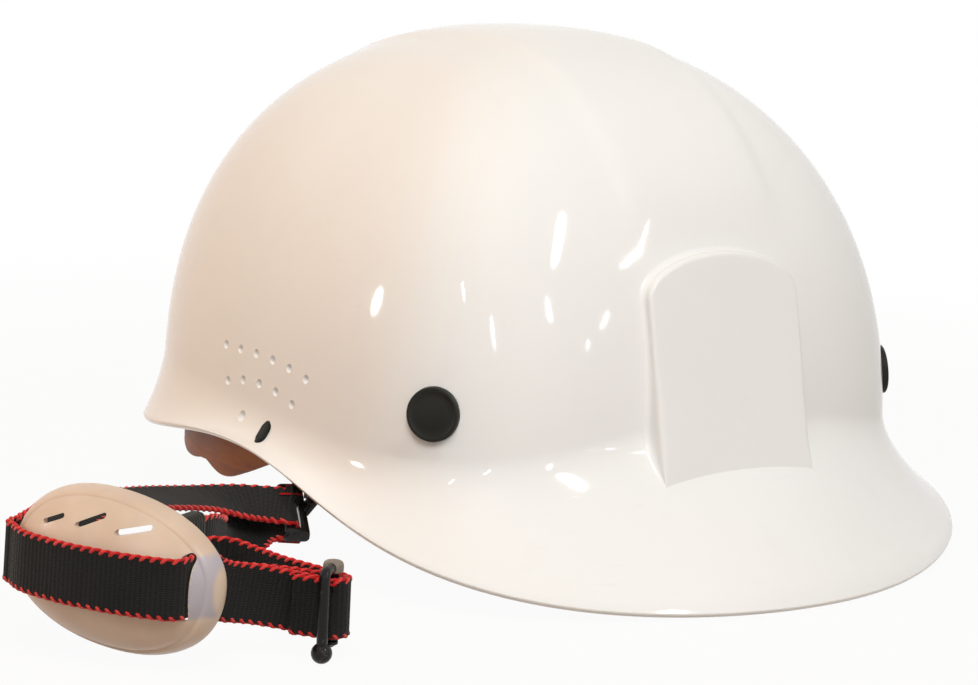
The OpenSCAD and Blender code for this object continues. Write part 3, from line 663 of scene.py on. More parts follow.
def link(name: str, data: bpy.types.ID) -> bpy.types.Object:
    """A new object in the scene."""
    made = bpy.data.objects.new(name, data)
    bpy.context.scene.collection.objects.link(made)
    return made


def wear(made: bpy.types.Object, finish: Finish) -> None:
    """Gives an object a finish."""
    made.data.materials.clear()
    made.data.materials.append(finish.material())


def piece(
    mesh: Mesh,
    name: str,
    body: Body,
    finish: Finish,
    nodes: Sequence[str] = (),
    sharp: float = 40.0,
    cutter: Mesh | None = None,
) -> bpy.types.Object:
    """Makes a piece of the object.

    Args:
        mesh: Its shape.
        name: Its name.
        body: The body that it rides on.
        finish: What it looks like.
        nodes: The CAD nodes that it stands for.
        sharp: The angle, in degrees, over which an edge is sharp.
        cutter: What is cut out of it.

    Returns:
        The piece.
    """
    made = link(name, mesh.data(name))
    if cutter is not None:
        cut_away(made, cutter)
    made.data.shade_smooth()
    made.data.set_sharp_from_angle(angle=math.radians(sharp))
    wear(made, finish)
    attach(made, body.value)
    if nodes:
        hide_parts(*nodes)
    LOG.info("%s: %d faces, on %s, for %s", name, len(made.data.polygons), body.value, nodes or "nothing in the frame")
    return made


def cut_away(made: bpy.types.Object, cutter: Mesh) -> None:
    """Cuts one mesh out of a piece."""
    tool = link("cutter", cutter.data("cutter"))
    step = made.modifiers.new("cut", "BOOLEAN")
    step.operation = "DIFFERENCE"
    step.solver = "EXACT"
    step.object = tool
    depsgraph = bpy.context.evaluated_depsgraph_get()
    result = bpy.data.meshes.new_from_object(made.evaluated_get(depsgraph))
    made.modifiers.clear()
    result.name = made.data.name
    made.data = result
    bpy.data.objects.remove(tool)


def axes(first: Array, second: Array, third: Array, point: Sequence[float]) -> Array:
    """A 4 x 4 placing from its three axes and its origin."""
    made = np.eye(4)
    made[:3] = np.column_stack([first, second, third, point])
    return made


def frame_at(point: Sequence[float], normal: Sequence[float], level: Sequence[float] | None = None) -> Array:
    """A placing with its third axis along a normal and its first near level."""
    n = unit(normal)
    hint = np.asarray(level if level is not None else ((0, 0, 1) if abs(n[2]) < 0.9 else (1, 0, 0)), float)
    first = unit(hint - n * np.dot(hint, n))
    return axes(first, np.cross(n, first), n, point)


def placed(points: Array, place: Array) -> Array:
    """Points moved by a placing."""
    return np.asarray(points, float) @ place[:3, :3].T + place[:3, 3]


def shifted(place: Array, x: float, y: float, z: float) -> Array:
    """A placing moved along its own axes."""
    return axes(*place[:3, :3].T, placed((x, y, z), place))


def lathe(mesh: Mesh, place: Array, profile: Sequence[Pair], sides: int, closed: bool = False) -> None:
    """Turns a profile of radius and height about a placing's third axis, with poles where it meets the axis."""
    turn = np.linspace(0, 2 * np.pi, sides, endpoint=False)
    rings = [(r, h) for r, h in profile if r > 1e-6]
    rows = [[(r * np.cos(a), r * np.sin(a), h) for a in turn] for r, h in rings]
    start = mesh.grid(placed(rows, place), closed=closed)
    for (radius, height), ring, flip in ((profile[0], 0, True), (profile[-1], len(rings) - 1, False)):
        if radius <= 1e-6:
            mesh.fan(placed((0, 0, height), place), start + ring * sides, sides, flip)


def stack(mesh: Mesh, place: Array, outline: Callable[[float], Array], layers: Sequence[Pair]) -> None:
    """Builds a solid from an outline drawn in by the first number of each layer, at the height of the second."""
    flats = [(outline(inset), height) for inset, height in layers]
    mesh.solid([placed(np.column_stack([flat, np.full(len(flat), height)]), place) for flat, height in flats])


def tube(mesh: Mesh, path: Array, radius: float, sides: int) -> None:
    """Sweeps a round bar with domed ends along a path."""
    ahead = np.roll(path, -1, 0) - np.roll(path, 1, 0)
    ahead[0], ahead[-1] = path[1] - path[0], path[-1] - path[-2]
    go = unit(ahead)
    side = unit(np.cross(go[0], (0.3, 0.5, 0.81)))
    held = []
    for g in go:
        side = unit(side - g * np.dot(side, g))
        held.append(side)
    s = np.array(held)
    w = np.cross(go, s)
    turn = np.linspace(0, 2 * np.pi, sides, endpoint=False)
    ring = np.cos(turn)[None, :, None] * s[:, None] + np.sin(turn)[None, :, None] * w[:, None]
    dome = (0.4, 0.8, 1.2)
    first = [path[0] - go[0] * radius * math.sin(a) + ring[0] * radius * math.cos(a) for a in dome[::-1]]
    last = [path[-1] + go[-1] * radius * math.sin(a) + ring[-1] * radius * math.cos(a) for a in dome]
    rows = np.concatenate([first, path[:, None] + ring * radius, last])
    start = mesh.grid(rows)
    mesh.fan(path[0] - go[0] * radius, start, sides, True)
    mesh.fan(path[-1] + go[-1] * radius, start + (len(rows) - 1) * sides, sides)


def ribbon(mesh: Mesh, centres: Array, wide: Array, thick: Array, size: Pair, run: Array, rows: int) -> None:
    """Sweeps a flat tape with rounded edges along centres, marked with run and across in millimetres.

    Args:
        mesh: What it is added to.
        centres: The middle of the tape at each station.
        wide: The direction of its width at each station.
        thick: The direction of its thickness at each station.
        size: Its width and thickness.
        run: The length along the tape at each station.
        rows: Steps across each face.
    """
    half, h = size[0] / 2, size[1] / 2
    flat = np.linspace(-half + h, half - h, rows + 1)
    edge = [(half - h + h * sind(a), h * cosd(a)) for a in (45, 90, 135)]
    back = [(-x, -y) for x, y in edge]
    across, over = np.array([(x, h) for x in flat] + edge + [(x, -h) for x in flat[::-1]] + back).T
    grid = centres[:, None] + wide[:, None] * across[None, :, None] + thick[:, None] * over[None, :, None]
    mesh.solid(grid, run=run[:, None], across=across[None, :])


# The cap's form


def station_wave(values: Sequence[float], a: Array) -> Array:
    """A cosine series through five stations, 45 degrees apart, at bearings a in degrees."""
    a = np.asarray(a, float)
    made = np.zeros_like(a)
    for k in range(5):
        share = sum((0.5 if j % 4 == 0 else 1) * values[j] * cosd(45 * k * j) for j in range(5))
        made = made + (1 if k % 4 == 0 else 2) / 4 * share * cosd(k * a)
    return made


@dataclass
class CapForm:
    """The dome, fillet and lip, as functions of bearing."""

    front: float = 91.0
    rear: float = 128.5
    half_w: float = 101.5
    high: float = 156.0
    back: float = 5.0
    square_front: float = 3.8
    square_rear: float = 2.4
    wall: float = 2.2
    side_power: float = 2.2
    rise_power: float = 2.32
    fillet_rise: float = 11.5
    brow_pull: float = 1.6
    brow_power: float = 24
    edge_share: float = 0.7
    crease: tuple[float, ...] = (38.5, 29, 32, 37, 39)
    edge: tuple[float, ...] = (1.55, 9, 32, 24, 23)
    lip_out: tuple[float, ...] = (45, 24, 8.5, 6.5, 7.5)

    def plan_r(self, a: Array, off: float) -> Array:
        """Radius of the plan outline at bearing a, drawn in by off."""
        c, s = cosd(a), sind(a)
        n = np.where(c > 0, self.square_front, self.square_rear)
        length = np.where(c > 0, self.front, self.rear) - off
        return ((np.abs(c) / length) ** n + (np.abs(s) / (self.half_w - off)) ** n) ** (-1 / n)

    def plan(self, a: Array, off: float, z: Array = 0.0) -> Array:
        """Point of the plan outline at bearing a and height z."""
        r = self.plan_r(a, off)
        return np.stack([r * cosd(a), r * sind(a), np.broadcast_to(z, np.shape(r))], -1)

    def plan_n(self, a: float, off: float) -> Array:
        """Outward normal of the plan outline."""
        d = self.plan(a + 0.5, off) - self.plan(a - 0.5, off)
        return unit([d[1], -d[0], 0])

    def dome(self, a: Array, t: Array, off: float = 0) -> Array:
        """Point of the dome at bearing a and angle t down from the crown."""
        c = cosd(t)
        r = self.plan_r(a, off) * sind(t) ** (2 / self.side_power)
        zc = station_wave(self.crease, a)
        z = zc + (self.high - off - zc) * c ** (2 / self.rise_power)
        return np.stack([r * cosd(a) - self.back * c**2, r * sind(a), z], -1)

    def dome_t(self, a: Array, z: Array, off: float = 0) -> Array:
        """Angle at which the dome reaches height z."""
        zc = station_wave(self.crease, a)
        return np.degrees(np.arccos(((z - zc) / (self.high - off - zc)) ** (self.rise_power / 2)))

    def fillet_t(self, a: Array, off: float) -> Array:
        """Angle at which the fillet starts."""
        return self.dome_t(a, station_wave(self.crease, a) + self.fillet_rise, off)

    def lip(self, a: Array, s: Array, off: float = 0) -> Array:
        """Point of the fillet and lip, with s from 0 at the dome to 1 at the edge."""
        a = np.asarray(a, float)
        zc, r = station_wave(self.crease, a), self.plan_r(a, off)
        ft = self.fillet_t(a, off)
        drop = off * self.edge_share
        b0 = np.stack([r * sind(ft) ** (2 / self.side_power), self.dome(a, ft, off)[..., 2]], -1)
        b1 = np.stack([r, zc - drop], -1)
        outer = self.plan_r(a, 0) + station_wave(self.lip_out, a)
        b2 = np.stack([outer - drop, station_wave(self.edge, a) - drop], -1)
        pull = 1 + self.brow_pull * np.maximum(0, cosd(a)) ** self.brow_power
        k = [(1 - s) ** 2, 2 * s * (1 - s) * pull, s * s + 0 * pull]
        b = ((k[0] * b0.T).T + (k[1] * b1.T).T + (k[2] * b2.T).T) / (k[0] + k[1] + k[2])[..., None]
        lean = self.back * cosd(ft) ** 2 * (1 - s)
        return np.stack([b[..., 0] * cosd(a) - lean, b[..., 0] * sind(a), b[..., 1]], -1)

    def dome_n(self, a: float, z: float) -> Array:
        """Outward normal of the dome at bearing a and height z."""
        t = self.dome_t(a, z)
        down = self.dome(a, t + 0.5) - self.dome(a, t - 0.5)
        return unit(np.cross(down, self.dome(a + 0.5, t) - self.dome(a - 0.5, t)))

    def lip_n(self, a: float, s: float) -> Array:
        """Outward normal of the lip."""
        down = self.lip(a, s + 0.02) - self.lip(a, s - 0.02)
        return unit(np.cross(down, self.lip(a + 0.5, s) - self.lip(a - 0.5, s)))

    def bearing(self, x: float, z: float) -> float:
        """Bearing of the dome's point at length x and height z, on the left side."""
        a = 90.0
        for _ in range(6):
            p = self.dome(a, self.dome_t(a, z))
            a = math.degrees(math.acos(x / math.hypot(p[0], p[1])))
        return a


@dataclass
class FrontPad:
    """The flat pad raised on the shell's front, in a plane that leans back."""

    half: float = 30.0
    foot: Pair = (98.9, 33.0)
    lean: float = 12.0
    shoulder_rise: float = 51.0
    arch: float = 13.0
    foot_fillet: float = 2.2
    top_round: float = 1.7
    above: float = 14.0
    sink: float = 0.9
    inset: float = 0.8
    bite: float = 0.02
    spare: float = 0.4
    far: float = 60.0
    reach: float = 160.0
    open_depth: float = 16.0
    side_points: int = 50
    arch_points: int = 71
    sole_points: int = 40
    fillet_rows: int = 8
    round_rows: int = 6

    @property
    def tilt(self) -> Pair:
        """The cosine and sine of the lean."""
        return math.cos(math.radians(self.lean)), math.sin(math.radians(self.lean))

    def at(self, flat: Array, deep: Array) -> Array:
        """A point of the pad's plane, sunk by deep along its normal."""
        c, s = self.tilt
        y, v = flat[..., 0], flat[..., 1]
        return np.stack([self.foot[0] - v * s - deep * c, y, self.foot[1] + v * c - deep * s], -1)

    def sole(self, skin: BVHTree, y: float) -> Pair:
        """Where the pad's plane ends, a little inside the lip's wall, at a width y."""
        c, s = self.tilt
        start = self.at(np.array([y, self.above]), np.array(0.0))
        found = skin.ray_cast(Vector(start), Vector((s, 0, -c)))
        return y, self.above - found[3] - self.sink

    def outline(self, low: float) -> tuple[Array, Array]:
        """The pad's edge from foot to foot over the arch, and its outward directions, in the pad's plane."""
        shoulder = self.shoulder_rise / self.tilt[0]
        side = np.linspace(low, shoulder, self.side_points)
        turn = np.linspace(180, 0, self.arch_points + 2)[1:-1]
        left = np.column_stack([np.full_like(side, -self.half), side])
        over = np.column_stack([self.half * cosd(turn), shoulder + self.arch * sind(turn)])
        points = np.concatenate([left, over, left[::-1] * [-1, 1]])
        ahead = np.gradient(points, axis=0)
        return points, unit(np.column_stack([-ahead[:, 1], ahead[:, 0]]))

    def depth(self, skin: BVHTree, flat: Array) -> Array:
        """How deep the shell lies behind points of the pad's plane."""
        c, s = self.tilt
        made = []
        for p in self.at(flat, np.full(len(flat), -self.far)):
            found = skin.ray_cast(Vector(p), Vector((-c, 0, -s)), self.reach)
            made.append(found[3] - self.far if found[0] is not None else self.open_depth)
        return np.array(made)

    def build(self, mesh: Mesh, skin: BVHTree) -> None:
        """Adds the pad, with a fillet at its foot and a rounded edge, to the shell's mesh."""
        edge, out = self.outline(self.sole(skin, self.half)[1])
        scale = np.clip(self.depth(skin, edge) / (self.foot_fillet + self.top_round + self.spare), self.bite, 1)
        rows = []
        for a in np.linspace(0, 90, self.fillet_rows):
            flat = edge + out * (self.foot_fillet * (1 - sind(a)) * scale)[:, None]
            sunk = self.depth(skin, flat) - self.foot_fillet * (1 - cosd(a)) * scale
            rows.append(self.at(flat, sunk + (self.bite if a == 0 else 0)))
        for a in np.linspace(0, 90, self.round_rows):
            flat = edge + out * (self.top_round * (cosd(a) - 1) * scale)[:, None]
            rows.append(self.at(flat, self.top_round * (1 - sind(a)) * scale))
        inner = edge - out * (self.top_round * scale + self.inset)[:, None]
        rows.append(self.at(inner, np.zeros(len(inner))))
        start = mesh.grid(np.array(rows), around=False, flip=True)
        n = len(edge)
        across = np.linspace(inner[-1, 0], inner[0, 0], self.sole_points + 2)[1:-1]
        soles = np.array([self.sole(skin, y) for y in across])
        low = mesh.add(self.at(soles, np.zeros(len(soles))))
        ring = [*range(start + (len(rows) - 1) * n, start + len(rows) * n), *range(low, low + len(soles))]
        mesh.faces.append(ring[::-1])


@dataclass
class Shell:
    """The moulded shell, with its pad, vent dimples, stud seats and key slots."""

    form: CapForm = field(default_factory=CapForm)
    pad: FrontPad = field(default_factory=FrontPad)
    columns: int = 216
    outer_rows: tuple[int, int] = (62, 26)
    inner_rows: tuple[int, int] = (36, 14)
    ridge: float = 1.1
    ridge_side: Pair = (25, 33)
    ridge_foot: Pair = (96, 116)
    stud_turn: float = 53.8
    stud_z: float = 51.6
    seat_r: float = 8.0
    seat_depth: float = 0.7
    key_turn: float = 89.5
    key_s: float = 0.47
    slot_size: Pair = (3.9, 7.5)
    vent_pitch: float = 8.7
    vent_rows: tuple[Pair, ...] = ((-26.3, 57.6), (-23.2, 49.0))
    vent_droop: tuple[Triple, ...] = ((1.65, -12, 20), (2, -8, 15))
    vent_r: float = 1.4
    dimple_proud: float = 0.36
    dimple_over: float = 1.06
    large_vent: Triple = (97.0, 0.36, 1.8)

    def outer(self, a: Array) -> Array:
        """Rows of the outer face, from near the crown to the edge, with the band raised over the crown."""
        f = self.form
        n, m = self.outer_rows
        dome = [f.dome(a, f.fillet_t(a, 0) * k / n) for k in range(1, n + 1)]
        rows = np.array(dome + [f.lip(a, np.full_like(a, k / m)) for k in range(1, m + 1)])
        normal = unit(np.cross(np.gradient(rows, axis=0), np.roll(rows, -1, 1) - np.roll(rows, 1, 1)))
        y, z = np.abs(rows[..., 1]), rows[..., 2]
        lift = self.ridge * (1 - smooth(y, *self.ridge_side)) * smooth(z, *self.ridge_foot)
        return rows + normal * lift[..., None]

    def inner(self, a: Array) -> Array:
        """Rows of the inner face, from the edge to near the crown."""
        f = self.form
        n, m = self.inner_rows
        lip = [f.lip(a, np.full_like(a, k / m), f.wall) for k in range(m, 0, -1)]
        dome = [f.dome(a, f.fillet_t(a, f.wall) * k / n, f.wall) for k in range(n, 0, -1)]
        return np.array(lip + dome)

    def rim(self, outer: Array, inner: Array) -> Array:
        """Rounded rows between the two faces at the edge."""
        middle, across = (outer[-1] + inner[0]) / 2, (inner[0] - outer[-1]) / 2
        ahead = unit(outer[-1] - outer[-3]) * np.linalg.norm(across, axis=-1)[:, None] * 0.5
        return np.array([middle - across * cosd(t) + ahead * sind(t) for t in (30, 60, 90, 120, 150)])

    def skin(self) -> tuple[Mesh, BVHTree]:
        """The shell's mesh and a tree of its outer face."""
        n, f = self.columns, self.form
        a = np.linspace(0, 360, n, endpoint=False)
        outer, inner = self.outer(a), self.inner(a)
        rows = np.concatenate([outer, self.rim(outer, inner), inner])
        mesh = Mesh()
        start = mesh.grid(rows, flip=True)
        mesh.fan((-f.back, 0, f.high + self.ridge), start, n)
        mesh.fan((-f.back, 0, f.high - f.wall), start + (len(rows) - 1) * n, n, True)
        face = Mesh()
        face.grid(outer)
        return mesh, BVHTree.FromPolygons([tuple(p) for p in outer.reshape(-1, 3)], face.faces)

    def stud_place(self) -> Array:
        """Where the left stud sits."""
        t = self.form.dome_t(self.stud_turn, self.stud_z)
        return frame_at(self.form.dome(self.stud_turn, t), self.form.dome_n(self.stud_turn, self.stud_z))

    def key_place(self) -> Array:
        """Where the left key sits, with its length along the second axis."""
        tilt = math.asin(self.form.lip_n(self.key_turn, self.key_s)[2]) - math.pi / 2
        c, s = math.cos(tilt), math.sin(tilt)
        return axes((1, 0, 0), (0, c, s), (0, -s, c), self.form.lip(self.key_turn, self.key_s))

    def cuts(self) -> Mesh:
        """Everything that is cut into the shell, on both sides."""
        made = Mesh()
        f = self.form
        (x1, z1), (x2, z2) = self.vent_rows
        (d1, m1, w1), (d2, m2, w2) = self.vent_droop
        # the upper row droops towards the front, the lower one at both ends
        rows = [(x, z1 - d1 * (max(0, x - m1) / w1) ** 2) for x in x1 + self.vent_pitch * np.arange(6)]
        rows += [(x, z2 - d2 * ((x - m2) / w2) ** 2) for x in x2 + self.vent_pitch * np.arange(5)]
        for x, z in rows:
            a = f.bearing(x, z)
            self.dimple(made, f.dome(a, f.dome_t(a, z)), f.dome_n(a, z), self.vent_r)
        turn, s, radius = self.large_vent
        self.dimple(made, f.lip(turn, s), f.lip_n(turn, s), radius)
        r, low = self.seat_r, -self.seat_depth
        lathe(made, self.stud_place(), [(0, low), (r, low), (r, 5), (0, 5)], 72)
        stack(made, self.key_place(), lambda inset: oblong(*self.slot_size), [(0, -0.5), (0, 4)])
        made.join(made.mirrored())
        return made

    def dimple(self, mesh: Mesh, point: Array, normal: Array, radius: float) -> None:
        """Adds a round-bottomed cutter."""
        place = frame_at(point + normal * radius * self.dimple_proud, normal)
        lathe(mesh, place, ball(radius * self.dimple_over, 13), 24)

    def build(self) -> None:
        """Makes the shell."""
        mesh, skin = self.skin()
        shell = piece(mesh, "shell_skin", Body.CAP, SHELL_WHITE, ["shell"], cutter=self.cuts())
        pad = Mesh()
        self.pad.build(pad, skin)
        piece(pad, "shell_pad", Body.CAP, SHELL_WHITE, sharp=50)
        LOG.info("shell thickness %.1f mm, %d points", self.form.wall, len(shell.data.vertices))


@dataclass
class Fasteners:
    """Studs and keys on the shell's sides."""

    shell: Shell
    head_r: float = 7.8
    head_t: float = 2.2
    shank_r: float = 3.0
    shank_end: float = -16.4
    bevel: float = 0.5
    key_w: float = 3.4
    key_h: float = 7.0
    key_point: float = 0.9
    key_end: float = -6.8

    def stud(self) -> Mesh:
        """The left stud: a disc with a raised, rounded rim and a shallow dish."""
        floor, r, b = -self.shell.seat_depth, self.head_r, self.bevel
        top, shank, end = floor + self.head_t, self.shank_r, self.shank_end
        profile = [(0.0, end), (shank - b, end), (shank, end + b), (shank, floor)]
        profile += [(r - 0.15, floor), (r, floor + 0.15), (r, top - 0.7)]
        profile += [(r - b + b * cosd(t), top - b + b * sind(t)) for t in (20, 45, 70, 90)]
        profile += [(r - 0.85, top - 0.04), (r - 1.1, top - 0.2), (r - 1.35, top - 0.45), (r - 1.6, top - 0.56)]
        profile += [(r * 0.6, top - 0.5), (r * 0.3, top - 0.43), (0.0, top - 0.4)]
        mesh = Mesh()
        lathe(mesh, self.shell.stud_place(), profile, 96)
        return mesh

    def key(self) -> Mesh:
        """The left key: an eight-sided head on a shank."""
        mesh = Mesh()
        place = self.shell.key_place()
        w, h, end = self.key_w, self.key_h, self.key_end
        head = [(0.1, -0.5), (0, -0.3), (0, 0.75), (0.18, 1.05), (0.5, 1.2), (0.9, 1.22)]
        stack(mesh, place, lambda inset: lozenge(w - 2 * inset, h + self.key_point - 2 * inset), head)
        shank = [(0.3, end), (0, end + 0.3), (0, -0.45)]
        stack(mesh, place, lambda inset: oblong(w - 1 - 2 * inset, h - 3 - 2 * inset), shank)
        return mesh

    def build(self) -> None:
        """Makes both sides' studs and keys."""
        for name, left in (("side_stud", self.stud()), ("side_key", self.key())):
            for side, mesh in (("left", left), ("right", left.mirrored())):
                piece(mesh, f"{name}_{side}_head", Body.CAP, BLACK_MOULD, [f"{name}_{side}"])


@dataclass
class Harness:
    """The headband, brow pad, nape straps and crown straps inside the shell."""

    form: CapForm = field(default_factory=CapForm)
    band_t: float = 1.6
    gap: float = 0.3
    nape_off: float = 7.0
    band_h: float = 16.0
    band_low: tuple[float, ...] = (41, 27.5, 28, 24, 22)
    head_end: float = 136.0
    rivet_turns: tuple[float, ...] = (104.0, 126.0)
    rivet_z: float = 31.0
    rivet_r: float = 1.58
    brow_turn: float = 44.0
    brow_t: float = 3.6
    brow_over: float = 5.0
    brow_under: float = 3.0
    brow_step: float = 0.75
    brow_gap: float = 0.25
    brow_channel: Triple = (0.34, 11.0, 0.8)
    brow_seam: Triple = (0.4, 0.82, 0.05)
    crown_w: float = 16.0
    crown_t: float = 1.2
    front_hang: Pair = (53.8, 59.0)
    rear_hang: Pair = (128.0, 47.0)
    cross_z: float = 122.0
    crown_side: float = 1.7
    crown_round: float = 2.6
    pad_r: float = 22.4
    pad_edge: float = 1.6
    pad_hole: float = 2.2
    pad_high: float = 4.0
    pad_thin: float = 0.7
    pad_room: float = 0.9
    pad_seams: tuple[Triple, ...] = ((0.45, 20.4, 0.7), (0.3, 11.0, 0.9))
    pad_spokes: Triple = (0.25, 12, 0.12)
    button_z: float = 14.0
    button_r: float = 2.48
    button_pitch: float = 9.0
    nape_top: float = 37.0
    nape_run: Triple = (92.5, 188.0, 1.0)
    nape_tip: tuple[float, ...] = (189.0, 190.0, 191.0, 191.6, 192.0)
    nape_overlap: Pair = (146.0, 160.0)
    nape_lift: float = 0.4
    nape_slope: Triple = (160.0, 180.0, 9.0)
    nape_close: Triple = (186.0, 192.0, 3.0)
    nape_least: float = 0.01
    nape_ease: float = 2.6
    nape_edge: tuple[Pair, ...] = (
        (90, 26.6), (93, 24.6), (102, 18.6), (109, 14.4), (112, 13.6), (115, 14), (118, 15.6), (121, 16.6),
        (126, 14.4), (131, 13.6), (135, 14.1), (139, 15), (144, 12), (150, 5.5), (155, 1.6), (159, 0.01),
        (180, 0.01), (186, 0.01), (192, 3),
    )  # fmt: skip

    @property
    def head_off(self) -> float:
        """How far the headband's outer face lies inside the plan outline."""
        return self.nape_off + self.band_t + self.gap

    def strip(self, a: Array, off: Array, low: Array, high: Array, side: int = 1) -> Mesh:
        """A standing strip with rounded edges.

        Args:
            a: Bearings.
            off: Offset of its outer face at each bearing.
            low: Its lower edge at each bearing.
            high: Its upper edge at each bearing.
            side: 1 on the left, -1 on the right.

        Returns:
            The strip.
        """
        half = self.band_t / 2
        rows = []
        for bearing, inset, under, over in zip(a, off, low, high):
            section = rounded(half, (over - under) / 2, self.band_t * 0.42, (0, 30, 60, 90))[0]
            rows.append([self.form.plan(bearing, inset + half - out, (over + under) / 2 + up) for out, up in section])
        mesh = Mesh()
        mesh.solid(rows)
        return mesh if side > 0 else mesh.mirrored()

    @staticmethod
    def holes(places: Iterable[tuple[Array, Array, float]]) -> Mesh:
        """Round cutters at points along normals."""
        made = Mesh()
        reach = 6.0
        for point, normal, radius in places:
            lathe(made, frame_at(point, normal), [(0, -reach), (radius, -reach), (radius, reach), (0, reach)], 40)
        return made

    def nape_low(self, a: Array) -> Array:
        """The nape strap's lower edge, eased."""
        fine = np.arange(88.0, 194.0, 0.5)
        raw = np.interp(fine, *zip(*self.nape_edge))
        kernel = np.exp(-0.5 * (np.arange(-8, 9) / self.nape_ease) ** 2)
        soft = np.convolve(np.pad(raw, 8, mode="edge"), kernel / kernel.sum(), mode="valid")
        return np.interp(a, fine, np.maximum(soft, self.nape_least))

    def nape(self, side: int) -> Mesh:
        """One nape strap. The left one steps inward and up to lie over the right one."""
        a = np.concatenate([np.arange(*self.nape_run), self.nape_tip])
        over = 1 if side > 0 else 0
        step = over * (self.band_t + self.gap) * ramp(a, *self.nape_overlap)
        (start, end, drop), (near, tip, close) = self.nape_slope, self.nape_close
        high = self.nape_top - drop * ramp(a, start, end) - close * smooth(a, near, tip)
        return self.strip(a, self.nape_off + step, self.nape_low(a) + over * self.nape_lift, high, side)

    def crossing(self) -> float:
        """Length at which the two crown straps cross."""
        off = self.head_off + self.crown_t / 2
        front, rear = self.form.plan(self.front_hang[0], off), self.form.plan(self.rear_hang[0], off)
        return (front[0] * rear[1] + rear[0] * front[1]) / (rear[1] + front[1])

    def crown_half(self, hang: Pair, side: int, lift: float) -> tuple[Array, Array]:
        """Half a crown strap from its end to the crossing: its centres and the directions of its width."""
        turn, end_z = hang
        end = self.form.plan(turn, self.head_off + self.crown_t / 2)
        n = self.form.plan_n(turn, self.head_off)
        mid = np.array([self.crossing(), 0.0])
        d = np.array([end[0], side * end[1]]) - mid
        across = np.array([-d[1], d[0], 0]) / np.linalg.norm(d)
        turned = np.array([-side * n[1], n[0], 0])
        w_end = turned if turned @ across > 0 else -turned
        rise = self.cross_z + lift - end_z
        centres, wide = [], []
        for i in np.arange(10, -0.01, -0.25):
            k = 1 - (1 - i / 10) ** self.crown_side
            centres.append([*(mid + d * k), end_z + rise * max(0.0, 1 - k**self.crown_round) ** 0.5])
            wide.append(unit((1 - k * k) * across + k * k * w_end))
        return np.array(centres), np.array(wide)

    def crown_strap(self, side: int, lift: float) -> tuple[Mesh, float]:
        """One crown strap, from a front hanger to the rear hanger on the other side, and its length."""
        front, rear = self.crown_half(self.front_hang, side, lift), self.crown_half(self.rear_hang, -side, lift)
        centres = np.concatenate([front[0], rear[0][-2::-1]])
        wide = np.concatenate([front[1], -rear[1][-2::-1]])
        thick = np.cross(wide, unit(np.gradient(centres, axis=0)))
        run = lengths(centres)
        mesh = Mesh()
        ribbon(mesh, centres, wide, thick, (self.crown_w, self.crown_t), run, 12)
        return mesh, float(run[-1])

    def build(self) -> None:
        """Makes the harness."""
        a = np.arange(-self.head_end, self.head_end + 0.1, 1.5)
        low = station_wave(self.band_low, a)
        rivets = []
        for turn in self.rivet_turns:
            n = self.form.plan_n(turn, self.nape_off)
            p = self.form.plan(turn, self.nape_off + self.band_t, self.rivet_z)
            rivets += [(p * [1, side, 1], n * [1, side, 1], self.rivet_r) for side in (1, -1)]
        band = self.strip(a, np.full_like(a, self.head_off), low, low + self.band_h)
        piece(band, "headband_strip", Body.CAP, BAND_MOULD, ["headband"], cutter=self.holes(rivets))
        x = self.nape_off + 1 - self.form.rear
        size_holes = [((x, self.button_pitch * k, self.button_z), (-1, 0, 0), self.button_r) for k in range(-2, 3)]
        for side, name, near in ((-1, "right", size_holes[2:3]), (1, "left", size_holes)):
            cutter = self.holes([rivet for rivet in rivets if rivet[0][1] * side > 0] + near)
            piece(self.nape(side), f"nape_{name}_strip", Body.CAP, BAND_MOULD, [f"nape_strap_{name}"], cutter=cutter)
        self.brow()
        for node, side, lift in (("crown_strap_upper", -1, self.crown_t + self.gap), ("crown_strap_lower", 1, 0.0)):
            mesh, length = self.crown_strap(side, lift)
            tape = piece(mesh, node + "_tape", Body.CAP, CROWN_WEAVE, [node])
        self.crown_pad()

    def brow(self) -> None:
        """Makes the brow pad: a curved cushion with a stitched border and pressed channels."""
        a = np.arange(-self.brow_turn, self.brow_turn + 0.1, self.brow_step)
        low = station_wave(self.band_low, a) - self.brow_under
        half = (self.band_h + self.brow_over) / 2
        back = self.head_off + self.band_t + self.gap
        v = np.linspace(-1, 1, 29)
        bulge = (1 - np.abs(v) ** 3.2) ** 0.6
        (sewn, place, fine), (pressed, pitch, wide) = self.brow_seam, self.brow_channel
        border = 1 - sewn * bell(np.abs(v), place, fine)
        rows = []
        for bearing, under in zip(a, low):
            taper = min(1.0, (self.brow_turn - abs(bearing)) / 5) ** 0.5 * 0.98 + 0.02
            groove = bell((bearing + pitch / 2) % pitch, pitch / 2, wide) * (1 - smooth(np.abs(v), 0.6, 0.8))
            soft = taper * bulge * (1 - pressed * groove) * border
            deep = back + self.brow_gap + (self.brow_t - self.gap) * soft
            z = under + half + v * half * (0.75 + 0.25 * taper)
            front = [self.form.plan(bearing, d, h) for d, h in zip(deep, z)]
            rows.append(front + [self.form.plan(bearing, back, h) for h in z[-2:0:-1]])
        mesh = Mesh()
        mesh.solid(rows, flip=True)
        piece(mesh, "brow_cushion", Body.CAP, PAD_CLOTH, ["brow_pad"], sharp=60)

